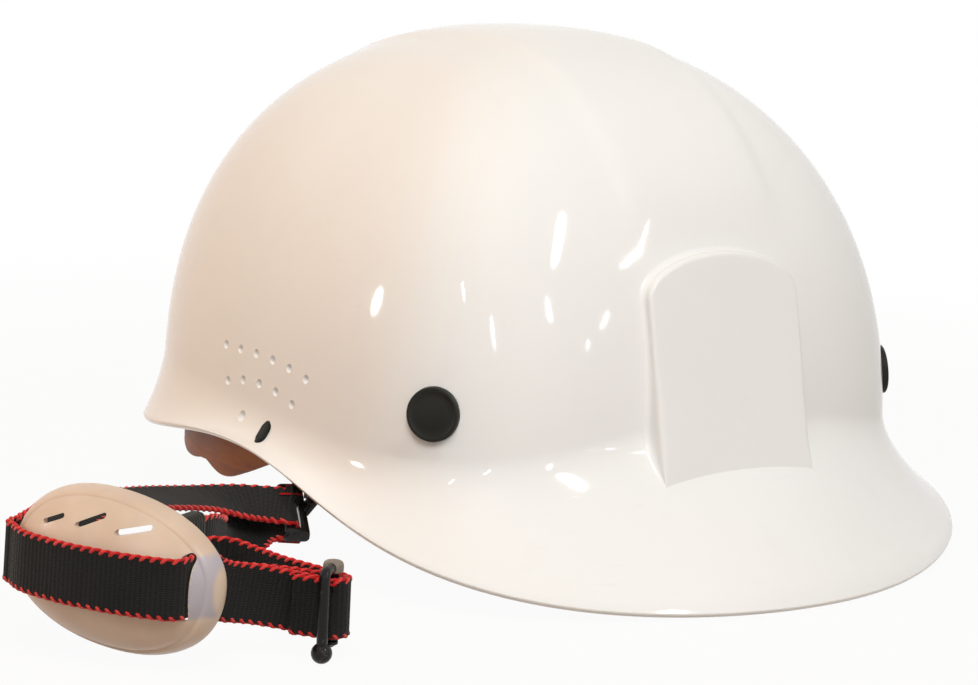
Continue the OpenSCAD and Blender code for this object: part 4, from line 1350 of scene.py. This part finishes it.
    def crown_pad(self) -> None:
        """Makes the round crown pad, quilted in rings with a bound edge."""
        x = self.crossing()
        top = self.cross_z - self.crown_t - self.gap - self.pad_room
        turn = np.linspace(0, 2 * np.pi, 96, endpoint=False)
        edge = self.pad_r + self.pad_edge * sind([30, 60, 90])
        pressed, count, fine = self.pad_spokes
        spoke = pressed * bell((turn * count / 2 / np.pi) % 2, 1, fine)
        rings = []
        for radius in (*np.linspace(self.pad_hole, self.pad_r, 34), *edge):
            sewn = 1 - sum(deep * bell(radius, place, wide) for deep, place, wide in self.pad_seams)
            soft = (1 - (radius / 24.2) ** 6) ** 0.5 * sewn * (1 - spoke * (11 < radius < 20))
            rings.append((radius, top - np.maximum(self.pad_high * soft, self.pad_thin)))
        rings += [(radius, np.full_like(turn, top)) for radius in (24, 23.6, 12, self.pad_hole)]
        mesh = Mesh()
        rows = [np.column_stack([x + r * np.cos(turn), r * np.sin(turn), z]) for r, z in rings]
        mesh.grid(rows, closed=True, flip=True)
        piece(mesh, "crown_cushion", Body.CAP, PAD_CLOTH, ["crown_pad"], sharp=60)


# The chin strap


def tipped(x: float, y: float, a: float) -> Array:
    """A level direction tilted up by a degrees."""
    return np.array([x * cosd(a), y * cosd(a), sind(a)])


@dataclass
class StrapRoute:
    """Where the webbing lies, from the lap sewn at the free hook to its end behind the cup."""

    web_w: float = 16.0
    web_t: float = 1.3
    gap: float = 0.3
    bar_r: float = 1.5
    cup_at: Triple = (84.5, -211.5, 23.4)
    cup_turn: float = 28.0
    cup_roll: float = 2.0
    cup_mid: float = 2.0
    cup_half_l: float = 30.5
    cup_half_h: float = 20.8
    cup_depth: float = 15.0
    cup_rim: float = -9.0
    band_v: float = 0.7
    slot_in: float = 7.2
    free_bar: Triple = (108.4, -154.7, 13.4)
    cap_bar: Triple = (26.7, -112.2, 17.2)
    lug_pin: Triple = (29.0, -102.0, 23.0)
    keeper_at: Triple = (52.0, -162.6, 17.0)
    keeper_way: Pair = (-10.0, 21.2)
    steps: int = 7

    def __post_init__(self) -> None:
        """Works out the cup's axes and the turns round the two bars."""
        (c, s), (cr, sr) = ((float(cosd(a)), float(sind(a))) for a in (self.cup_turn, self.cup_roll))
        self.u, self.v = np.array([c * cr, s * cr, -sr]), np.array([c * sr, s * sr, cr])
        self.w = np.array([s, -c, 0.0])
        self.bar_dir = unit([-0.8, 0.4, 0.45])
        self.run_dir = unit([-0.447, -0.894, 0])
        self.face_n = unit(np.cross(self.bar_dir, self.run_dir))
        self.turn_in = self.bar_r + self.gap + self.web_t / 2
        self.turn_out = self.turn_in + self.web_t + 0.4
        self.left = self.cup_mid - self.cup_half_l
        self.right = self.cup_mid + self.cup_half_l
        self.slot_u = self.right - self.slot_in

    def cup(self, u: float, v: float, w: float) -> Array:
        """A point in the cup's own axes."""
        return np.array(self.cup_at) + u * self.u + v * self.v + w * self.w

    def arch(self, rho: float, depth: float) -> float:
        """Height of a face of the cup, at rho from its middle to its rim."""
        return self.cup_rim + depth * (1 - min(1, rho) ** 2.4) ** 0.5

    def over(self, u: float, lift: float) -> Array:
        """A point of the webbing over the cup's face."""
        face = self.arch(abs(u - self.cup_mid) / self.cup_half_l, self.cup_depth)
        return self.cup(u, self.band_v, face + lift)

    def on_bar(self, radius: float, turns: Iterable[float], z: float) -> list[list[float]]:
        """Points round the free hook's bar."""
        x, y = self.free_bar[:2]
        return [[x + radius * cosd(a), y + radius * sind(a), z] for a in turns]

    def cap_turn(self, a: float) -> Array:
        """A point round the cap hook's bar."""
        return np.array(self.cap_bar) + self.turn_in * (sind(a) * self.face_n - cosd(a) * self.run_dir)

    def stops(self) -> tuple[list[Array], list[Array], list[int]]:
        """The stops, the width's direction at each, and how many stops each run has."""
        up = np.array([0.0, 0.0, 1.0])
        near = self.gap + self.web_t / 2
        left, rim, v, slot, z = self.left, self.cup_rim, self.band_v, self.slot_u, self.free_bar[2]
        lap = [[104.2, -164.6, 14.2], [107.7, -161.2, 14]]
        lap += self.on_bar(self.turn_out, (-46, -20, 10, 40, 70, 100, 124), z + 0.2)
        lap += [[101, -153.8, 14.4], [90, -157.2, 15], [80, -159.4, 15.8]]
        (kx, ky, kz), (dx, dy) = self.keeper_at, self.keeper_way
        back = [[72, -163, kz], [68, -169, kz], [64.5, -175.5, kz], [60.5, -177.6, kz]]
        back += [[kx + k * dx, ky + k * dy, kz] for k in (-0.5, 0, 0.5)]
        back += [[37.5, -142.5, 13.2], [27.5, -132, 11.3], [22.4, -120.8, 12.7]]
        back_ways = [up] * 7 + [tipped(-0.6, 0.8, 56), tipped(-0.86, 0.5, 36), tipped(-0.9, 0.43, 30)]
        bar = [self.cap_turn(a) for a in (-90, -60, -30, 0, 30, 60, 90)]
        cap = [[21.8, -122, 20.2], [20, -138, 22.6], [25, -158, 25.6], [33, -178, 28], [41, -194, 28]]
        cap += [self.cup(left + 0.9, 2, rim - 11)]
        cap_ways = [tipped(-0.86, 0.5, 24), tipped(-0.99, 0.1, 13), tipped(-0.97, -0.23, 12)]
        cap_ways += [tipped(-0.93, -0.37, 9), tipped(-0.87, -0.48, 22), tipped(-0.85, -0.5, 60)]
        cup = [self.cup(left - near - 0.1, v, rim - 1), self.cup(left - near - 0.2, v, rim + 3)]
        cup += [self.cup(left + 0.1, v, rim + 6.2)]
        along = (left + 2.4, left + 6, left + 11, *(self.cup_mid + d for d in (-8, 0, 8)), self.right - 12.5)
        cup += [self.over(u, near + 0.1) for u in along]
        cup += [self.over(slot - 1.7, near + 0.4)]
        hook = [self.over(slot, -0.4), self.cup(slot, v, rim + 3), self.cup(slot - 1, 0, rim - 3.5)]
        hook += [[97.5, -182.5, 18.6], [98.4, -172, 16.4], [103.4, -163, 14.6]]
        hook += self.on_bar(self.turn_in, (-46, -16, 14, 44, 74, 104, 134), z)
        hook += [[100.8, -160.2, 14.6], [95.6, -169, 15.6], [93.2, -178, 16.6]]
        ways = [up] * len(lap) + back_ways + [self.bar_dir] * len(bar) + cap_ways
        ways += [self.v] * (len(cup) + 2) + [up] * (len(hook) - 2)
        points = [np.array(p, float) for p in (*lap, *back, *bar, *cap, *cup, *hook)]
        return points, ways, [len(lap), len(back) + 3, len(cap) + 4, len(cup) - 1]


@dataclass
class Webbing:
    """The chin strap's webbing, in five runs with stitched edges."""

    route: StrapRoute
    pitch: float = 2.7
    thread_r: float = 0.4
    thread_wide: float = 1.15
    thread_flat: float = 0.55
    twist_run: float = 1.5
    twist_turn: float = 160.0
    runs: tuple[tuple[str, str, str], ...] = (
        ("lap_run", "folded", "free_hook"),
        ("back_run", "laid", "strap_keeper"),
        ("cap_run", "laid", "cap_hook"),
        ("cup_run", "stretched", "chin_cup"),
        ("hook_run", "folded", "free_hook"),
    )

    def build(self) -> None:
        """Makes the webbing and its stitching."""
        points, ways, counts = self.route.stops()
        steps, width, depth = self.route.steps, self.route.web_w, self.route.web_t
        path, wide = curve(points, steps), curve(ways, steps)
        go = unit(np.gradient(path, axis=0))
        thick = unit(np.cross(go, wide))
        wide = unit(np.cross(thick, go))
        run = lengths(path)
        cuts = [0, *np.cumsum(counts) * steps, len(path) - 1]
        for (name, how, on), start, end in zip(self.runs, cuts, cuts[1:]):
            part = slice(start, end + 1)
            mesh = Mesh()
            ribbon(mesh, path[part], wide[part], thick[part], (width, depth), run[part], 14)
            node = "webbing_" + name
            tape = piece(mesh, node + "_tape", Body.STRAP, STRAP_WEAVE, [node])
            stitches = self.stitching(path[part], wide[part], thick[part], go[part], run[part])
            sewn = piece(stitches, node + "_stitching", Body.STRAP, RED_THREAD)

    def stitching(self, path: Array, wide: Array, thick: Array, go: Array, run: Array) -> Mesh:
        """Slanted stitches that lie on both faces and wrap both edges."""
        mesh = Mesh()
        half, h, sides = self.route.web_w / 2, self.route.web_t / 2, 8
        front = [(-1.35, h - 0.22), (-1.2, h - 0.02), (-0.85, h + 0.03), (-0.45, h + 0.02), (-0.12, h * 0.7)]
        loop = np.array(front + [(-0.04, 0.0)] + [(x, -z) for x, z in front[::-1]])
        slide = np.array([-0.6, -0.55, -0.42, -0.27, -0.1, 0, 0.1, 0.27, 0.42, 0.55, 0.6]) * self.pitch
        taper = self.thread_r * np.array([0.5, 0.8, 1, 1, 1, 1, 1, 1, 1, 0.8, 0.5])
        turn = np.linspace(0, 2 * np.pi, sides, endpoint=False)
        count = int((run[-1] - run[0]) / self.pitch)
        for edge in (-1, 1):
            for k in range(count):
                spots = np.clip(run[0] + (k + 0.5) * (run[-1] - run[0]) / count + slide, run[0], run[-1])
                p, w, t, g = (
                    np.column_stack([np.interp(spots, run, row) for row in held.T]) for held in (path, wide, thick, go)
                )
                line = p + edge * (half + loop[:, :1]) * w + loop[:, 1:] * t
                ahead = unit(np.gradient(line, axis=0))
                side = unit(np.cross(ahead, g))
                ring = np.cos(turn)[None, :, None] * side[:, None] * self.thread_flat
                ring = ring + np.sin(turn)[None, :, None] * np.cross(ahead, side)[:, None] * self.thread_wide
                rows = line[:, None] + ring * taper[:, None, None]
                twist = np.degrees(turn)[None, :] / self.twist_turn
                mesh.solid(rows, run=spots[:, None] * self.twist_run, across=twist)
        return mesh


@dataclass
class ChinCup:
    """The moulded cup, with vent slots and a slot for the webbing."""

    route: StrapRoute
    wall: float = 1.8
    power: float = 2.15
    skew: float = 0.14
    around: int = 120
    rows: int = 44
    groove: Triple = (0.9, 0.022, 0.9)
    rim_round: float = 0.8
    # how far the painted shade behind the webbing fades out at its edges
    painted_shade_fade: float = 0.8
    slot_room: Pair = (1.2, 1.6)
    vents: tuple[tuple[float, ...], ...] = (
        (-12.4, 12.8, 24, 7, 1.3),
        (-1.4, 14.2, 26, 8.5, 1.4),
        (10.6, 13.4, 14, 9, 1.6),
    )

    def ring(self, rho: float, inset: float) -> Array:
        """One ring of the cup, at rho from its middle to its rim."""
        r = self.route
        turn = np.linspace(0, 360, self.around, endpoint=False)
        c, s = (np.sign(x) * np.abs(x) ** (2 / self.power) for x in (cosd(turn), sind(turn)))
        u = r.cup_mid + rho * (r.cup_half_l - inset) * c
        v = rho * (r.cup_half_h - inset) * (s - self.skew * np.abs(s) * c)
        place, width, deep = self.groove
        w = r.arch(rho, r.cup_depth - inset) - (deep * bell(rho, place, width) if inset == 0 else 0.0)
        return np.array([r.cup(a, b, w) for a, b in zip(u, v)])

    def slot(self, mesh: Mesh, u: float, v: float, turn: float, length: float, high: float) -> None:
        """A cutter with round ends through the cup's face."""
        r, c, s = self.route, cosd(turn), sind(turn)
        place = axes(s * r.u - c * r.v, c * r.u + s * r.v, r.w, r.cup(u, v, 0))
        stack(mesh, place, lambda inset: oblong(high, length), [(0, -20), (0, 20)])

    def build(self) -> None:
        """Makes the cup."""
        r, n = self.route, self.around
        steps = [1 - (1 - k / self.rows) ** 1.9 for k in range(1, self.rows + 1)]
        ends = (self.ring(1, 0), self.ring(1, self.wall))
        middle, half = (ends[0] + ends[1]) / 2, (ends[1] - ends[0]) / 2
        deep = np.linalg.norm(half, axis=1)[:, None] * -r.w
        rows = [self.ring(rho, 0) for rho in steps]
        rows += [middle - half * cosd(t) + deep * sind(t) * self.rim_round for t in (30, 60, 90, 120, 150)]
        rows += [self.ring(rho, self.wall) for rho in steps[::-1]]
        mesh = Mesh()
        grid = np.array(rows)
        u, v = (grid - np.array(r.cup_at)) @ r.u, (grid - np.array(r.cup_at)) @ r.v
        # painted shade: 1 on the part of the cup that lies behind the webbing, fading out at its edges
        (near, far), fade = (r.slot_u + 0.6, r.right - 1.6), self.painted_shade_fade
        painted_shade_span = smooth(u, near, near + fade) * (1 - smooth(u, far, far + fade))
        start = mesh.grid(grid, tucked=painted_shade_span * (1 - smooth(np.abs(v - r.band_v), 7.5, 7.5 + fade)))
        top = r.cup_rim + r.cup_depth
        mesh.fan(r.cup(r.cup_mid, 0, top), start, n, True)
        mesh.fan(r.cup(r.cup_mid, 0, top - self.wall), start + (len(rows) - 1) * n, n)
        cutter = Mesh()
        wide, thick = r.web_w + self.slot_room[0], r.web_t + self.slot_room[1]
        for slot in ((r.slot_u, r.band_v, 90, wide, thick), *self.vents):
            self.slot(cutter, *slot)
        piece(mesh, "chin_cup_bowl", Body.STRAP, CUP_NATURAL, ["chin_cup"], sharp=35, cutter=cutter)


@dataclass
class StrapHardware:
    """The two hooks and the keeper."""

    route: StrapRoute
    arm_r: float = 1.0
    eye_in: float = 1.68
    eye_out: float = 2.88
    eye_w: float = 6.6
    eye_edge: float = 0.35
    arm_w: float = 4.0
    ball_r: float = 2.8
    rod_r: float = 1.45
    arm_step: Pair = (4.9, -6.3)
    keeper_half: float = 4.5
    keeper_edge: float = 0.3
    keeper_swell: float = 0.85
    grip_pitch: float = 1.3
    grip_start: float = -3.6

    def cap_hook(self) -> None:
        """Makes the cap hook: a loop of flat arms with a round bar, a tongue and an eye."""
        r, arm = self.route, self.arm_r
        bar, pin = np.array(r.cap_bar), np.array(r.lug_pin)
        out = (r.web_w + 2 * r.gap) / 2 + arm + 0.7
        rise = r.bar_r + r.web_t + 2 * r.gap + arm + 0.1
        mesh = Mesh()
        half, b, edge = out + arm, r.bar_r, 0.3
        end = [(b, half), (b - edge, half + edge), (0, half + edge)]
        lathe(mesh, frame_at(bar, r.bar_dir), [(q, -h) for q, h in end[::-1]] + end, 40)
        place = axes(r.run_dir, r.face_n, r.bar_dir, bar)
        soft = [(0.45, arm), (0.13, arm - 0.06), (0.0, arm - 0.3)]
        layers = [(q, -h) for q, h in soft] + soft[::-1]
        low, high = -rise - arm, 2 * arm
        for k in (-1, 1):
            at = shifted(place, (low + high) / 2, 0, k * out)
            stack(mesh, at, lambda inset: pebble(high - low - 2 * inset, self.arm_w - 2 * inset, 1.3), layers)
        back = shifted(place, -rise, 0, 0)
        stack(mesh, back, lambda inset: pebble(2 * arm, self.arm_w - 0.8, 0.6), [(0.0, -out), (0.0, out)])
        tongue = bar - rise * r.run_dir - pin
        way = frame_at(pin, (0, tongue[1], tongue[2]), (1, 0, 0))
        ends = [(0.1, self.eye_out - 0.6), (0.1, float(np.linalg.norm(tongue)))]
        stack(mesh, way, lambda inset: pebble(4 - 2 * inset, 2.4 - 2 * inset, 0.5), ends)
        inside, outside, h, c = self.eye_in, self.eye_out, self.eye_w / 2, self.eye_edge
        eye = [(inside + c, -h), (outside - c, -h), (outside, c - h), (outside, h - c)]
        eye += [(outside - c, h), (inside + c, h), (inside, h - c), (inside, c - h)]
        lathe(mesh, frame_at(pin, (1, 0, 0)), eye, 48, closed=True)
        piece(mesh, "cap_hook_loop", Body.CAP_HOOK, HOOK_COAT, ["cap_hook"])

    def free_hook(self) -> None:
        """Makes the free hook: a bar with a head, and a hooked arm with a ball end."""
        r, up = self.route, (0, 0, 1)
        x, y, z = r.free_bar
        low, top = z - r.web_w / 2 - 1.6, z + r.web_w / 2 + 2.6
        ax, ay = x + self.arm_step[0], y + self.arm_step[1]
        mesh = Mesh()
        path = eased([(x, y, low), (x, y, top), (ax, ay, top), (ax, ay, self.ball_r + 0.4)], 2.2, 8)
        tube(mesh, path, self.rod_r, 24)
        lathe(mesh, frame_at((ax, ay, self.ball_r + 0.01), up), ball(self.ball_r, 17), 40)
        foot = [(0.0, -0.6), (1.7, -0.6), (2.0, -0.35), (2.0, 0.35), (1.7, 0.6), (0.0, 0.6)]
        lathe(mesh, frame_at((x, y, low), up), foot, 32)
        piece(mesh, "free_hook_arm", Body.FREE_HOOK, HOOK_COAT, ["free_hook"])
        head = Mesh()
        knob = [(0.0, -1.5), (2.4, -1.5), (2.7, -1.2), (2.75, -0.3), (2.7, 0.7)]
        knob += [(2.45, 1.25), (1.9, 1.6), (1.0, 1.78), (0.0, 1.8)]
        lathe(head, frame_at((x, y, top), up), knob, 40)
        piece(head, "free_hook_head", Body.FREE_HOOK, HEAD_METAL)

    def keeper(self) -> None:
        """Makes the keeper: a rounded sleeve with grip ridges."""
        r, end, edge, flat = self.route, self.keeper_half, self.keeper_edge, self.keeper_swell
        along = unit([*r.keeper_way, 0])
        across = np.array([-along[1], along[0], 0])
        middle = np.array(r.keeper_at)
        loop, out = rounded((r.web_t + 2.3) / 2, (r.web_w + 2.5) / 2 + 0.1, 1.0, (0, 22.5, 45, 67.5, 90))
        section = [(-end, 0.5), (edge - end, flat)]
        for k in range(6):
            s = self.grip_start + self.grip_pitch * k
            section += [(s, flat), (s + 0.3, 1.0), (s + 0.7, 1.0), (s + 1.0, flat)]
        section += [(end - edge, flat), (end, 0.5)]
        section += [(end, -0.55), (end - edge, -flat), (edge - end, -flat), (-end, -0.55)]
        rows = [
            [middle + along * s + across * (a + oa * h) + np.array([0, 0, b + ob * h]) for s, h in section]
            for (a, b), (oa, ob) in zip(loop, out)
        ]
        mesh = Mesh()
        mesh.grid(rows, closed=True)
        piece(mesh, "strap_keeper_sleeve", Body.KEEPER, BLACK_MOULD, ["strap_keeper"])

    def build(self) -> None:
        """Makes the hooks and the keeper."""
        self.cap_hook()
        self.free_hook()
        self.keeper()


@dataclass
class PlainParts:
    """Small moulded parts whose shape in the frame is right as it is."""

    black: tuple[str, ...] = ("stud_retainer", "front_hanger", "side_hanger", "rear_hanger", "crown_rivet")
    brown: tuple[str, ...] = ("nape_rivets", "size_button")
    white: tuple[str, ...] = ("chin_lug",)

    def build(self, nodes: dict[str, bpy.types.Object]) -> None:
        """Gives each part its finish."""
        for name, node in nodes.items():
            for starts, finish in ((self.black, BLACK_MOULD), (self.brown, BAND_MOULD), (self.white, SHELL_WHITE)):
                if name.startswith(starts):
                    wear(node, finish)
                    LOG.info("%s: dressed as %s", name, finish.name)


# The studio


@dataclass
class Lamp:
    """One area lamp. A shown lamp is seen in glossy surfaces; the others only light them."""

    name: str
    at: Triple
    size: Pair
    watts: float
    colour: Triple = (1.0, 1.0, 1.0)
    aim: Triple = (0.0, -0.03, 0.07)
    shown: bool = False
    turn: float = 0.0

    def build(self) -> None:
        """Hangs the lamp and turns it to its aim."""
        data = bpy.data.lights.new(self.name, "AREA")
        data.shape = "ELLIPSE" if self.shown else "RECTANGLE"
        data.size, data.size_y = self.size
        data.energy = self.watts
        data.color = self.colour
        lamp = link(self.name, data)
        way = (Vector(self.aim) - Vector(self.at)).to_track_quat("-Z", "Y").to_matrix()
        way = way @ Matrix.Rotation(math.radians(self.turn), 3, "Z")
        lamp.matrix_world = Matrix.Translation(self.at) @ way.to_4x4()
        lamp.visible_glossy = self.shown


@dataclass
class Glint:
    """A small lamp hung where a glossy surface shows it at a given place of the frame."""

    name: str
    seen: Pair
    size: Pair
    turn: float
    level: float = 1.0
    away: float = 1.6
    bright: float = 44.0

    def build(self, camera: bpy.types.Object, mirror: BVHTree) -> None:
        """Follows the sight line to the surface and hangs the lamp where the surface mirrors it."""
        data, (width, height) = camera.data, FRAME
        x = (self.seen[0] / width - 0.5 + data.shift_x) * data.sensor_width / data.lens
        y = ((0.5 - self.seen[1] / height) * height / width + data.shift_y) * data.sensor_width / data.lens
        ray = (camera.matrix_world.to_3x3() @ Vector((x, y, -1))).normalized()
        point, normal = mirror.ray_cast(camera.matrix_world.translation / MM, ray)[:2]
        at = point * MM + ray.reflect(normal) * self.away
        watts = self.bright * self.level * math.pi**2 * self.size[0] * self.size[1] / 4
        Lamp(self.name, tuple(at), self.size, watts, aim=tuple(point * MM), shown=True, turn=self.turn).build()


@dataclass
class Studio:
    """Camera, floor, world and lamps."""

    azimuth: float = 50.0
    elevation: float = 8.0
    roll: float = 2.9
    distance: float = 0.934
    target: Triple = (-0.0029, 0.0, 0.0764)
    sensor: float = 36.0
    focal_px: float = 2916.0
    shift: Pair = (-0.0409, -0.0664)
    clip: Pair = (0.05, 50.0)
    floor_half: float = 6.0
    floor_z: float = -0.0002
    floor_tone: Colour = (0.52, 0.45, 0.38, 1)
    floor_white: float = 0.95
    floor_fade: Pair = (0.25, 0.7)
    lamps: tuple[Lamp, ...] = (
        Lamp("key", (1.4, -0.9, 1.95), (1.0, 1.0), 27.0, (1.0, 0.985, 0.96)),
        Lamp("front", (1.6, -1.5, 0.5), (1.2, 1.2), 2.5, (0.7, 0.9, 1.0)),
        Lamp("high", (0.7, -0.9, 2.0), (1.0, 1.0), 16.0, (1.0, 0.95, 0.885)),
        Lamp("top", (-0.7, -0.8, 2.0), (1.0, 1.0), 6.0, (1.0, 0.72, 0.3)),
        Lamp("left", (-1.9, -1.5, 0.7), (1.2, 1.2), 18.0, (1.0, 0.38, 0.02)),
        Lamp("rear", (-1.2, 1.7, 0.6), (1.2, 1.2), 9.0, (1.0, 0.95, 0.9)),
    )
    glints: tuple[Glint, ...] = (
        Glint("tall", (559, 239), (0.1, 0.5), -36.0),
        Glint("slant", (634, 252), (0.02, 0.2), -66.0),
        Glint("side", (458, 293), (0.035, 0.2), 38.0, 0.6),
        Glint("round", (378, 304), (0.09, 0.17), -12.0),
        Glint("low", (489, 335), (0.04, 0.3), 26.0),
        Glint("small", (550, 312), (0.035, 0.22), 12.0, 0.9),
        Glint("right", (603, 316), (0.014, 0.12), -30.0),
        Glint("drop", (590, 347), (0.012, 0.07), -30.0),
    )

    def camera(self) -> bpy.types.Object:
        """Places the camera."""
        az, el, roll = (math.radians(x) for x in (self.azimuth, self.elevation, self.roll))
        back = Vector((math.sin(az) * math.cos(el), -math.cos(az) * math.cos(el), math.sin(el)))
        right = (-back).cross(Vector((0, 0, 1))).normalized()
        up = right.cross(-back)
        data = bpy.data.cameras.new("camera")
        data.sensor_fit = "HORIZONTAL"
        data.sensor_width = self.sensor
        data.lens = self.sensor * self.focal_px / FRAME[0]
        data.shift_x, data.shift_y = self.shift
        data.clip_start, data.clip_end = self.clip
        made = link("camera", data)
        x = right * math.cos(roll) + up * math.sin(roll)
        y = up * math.cos(roll) - right * math.sin(roll)
        place = Matrix((x, y, back)).transposed().to_4x4()
        place.translation = Vector(self.target) + back * self.distance
        made.matrix_world = place
        bpy.context.scene.camera = made
        return made

    def floor(self) -> None:
        """Lays the pale floor, which keeps the object's soft shadow and turns white further off."""
        mesh = bpy.data.meshes.new("floor")
        corners = [(x * self.floor_half, y * self.floor_half, self.floor_z) for x, y in QUADRANTS[2:] + QUADRANTS[:2]]
        mesh.from_pydata(corners, [], [(0, 1, 2, 3)])
        material = bpy.data.materials.new("floor_white")
        graph = Graph(material)
        plain = graph.node("BsdfDiffuse", {}, {"Color": self.floor_tone})
        glow = graph.node("Emission", {}, {"Strength": 1.0})
        far = graph.node("VectorMath", {"operation": "LENGTH"}, {0: graph.place()}, "Value")
        share = graph.shown() * far.rise(*self.floor_fade, self.floor_white)
        graph.node("OutputMaterial", {}, {"Surface": graph.node("MixShader", {}, {0: share, 1: plain, 2: glow})})
        mesh.materials.append(material)
        link("floor", mesh)

    def world(self) -> None:
        """Sets a white surround that shows and is mirrored but gives no light of its own."""
        world = bpy.data.worlds.new("surround")
        bpy.context.scene.world = world
        graph = Graph(world)
        back = graph.node("Background", {}, {"Color": (1, 1, 1, 1), "Strength": graph.shown()})
        graph.node("OutputWorld", {}, {"Surface": back})

    def build(self, mirror: BVHTree) -> None:
        """Sets up the studio, with the small lamps hung for the given glossy surface."""
        bpy.context.scene.view_settings.view_transform = "Standard"
        camera = self.camera()
        self.floor()
        self.world()
        for lamp in self.lamps:
            lamp.build()
        for glint in self.glints:
            glint.build(camera, mirror)
        LOG.info("studio: camera, floor, world, %d lamps and %d glints", len(self.lamps), len(self.glints))


def main() -> None:
    """Builds the scene in order."""
    logging.basicConfig(level=logging.INFO, format="%(name)s: %(message)s", stream=sys.stdout)
    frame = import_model()
    shell = Shell()
    Studio().build(shell.skin()[1])
    shell.build()
    Fasteners(shell).build()
    Harness().build()
    route = StrapRoute()
    Webbing(route).build()
    ChinCup(route).build()
    StrapHardware(route).build()
    PlainParts().build(frame["nodes"])


if __name__ == "__main__":
    main()
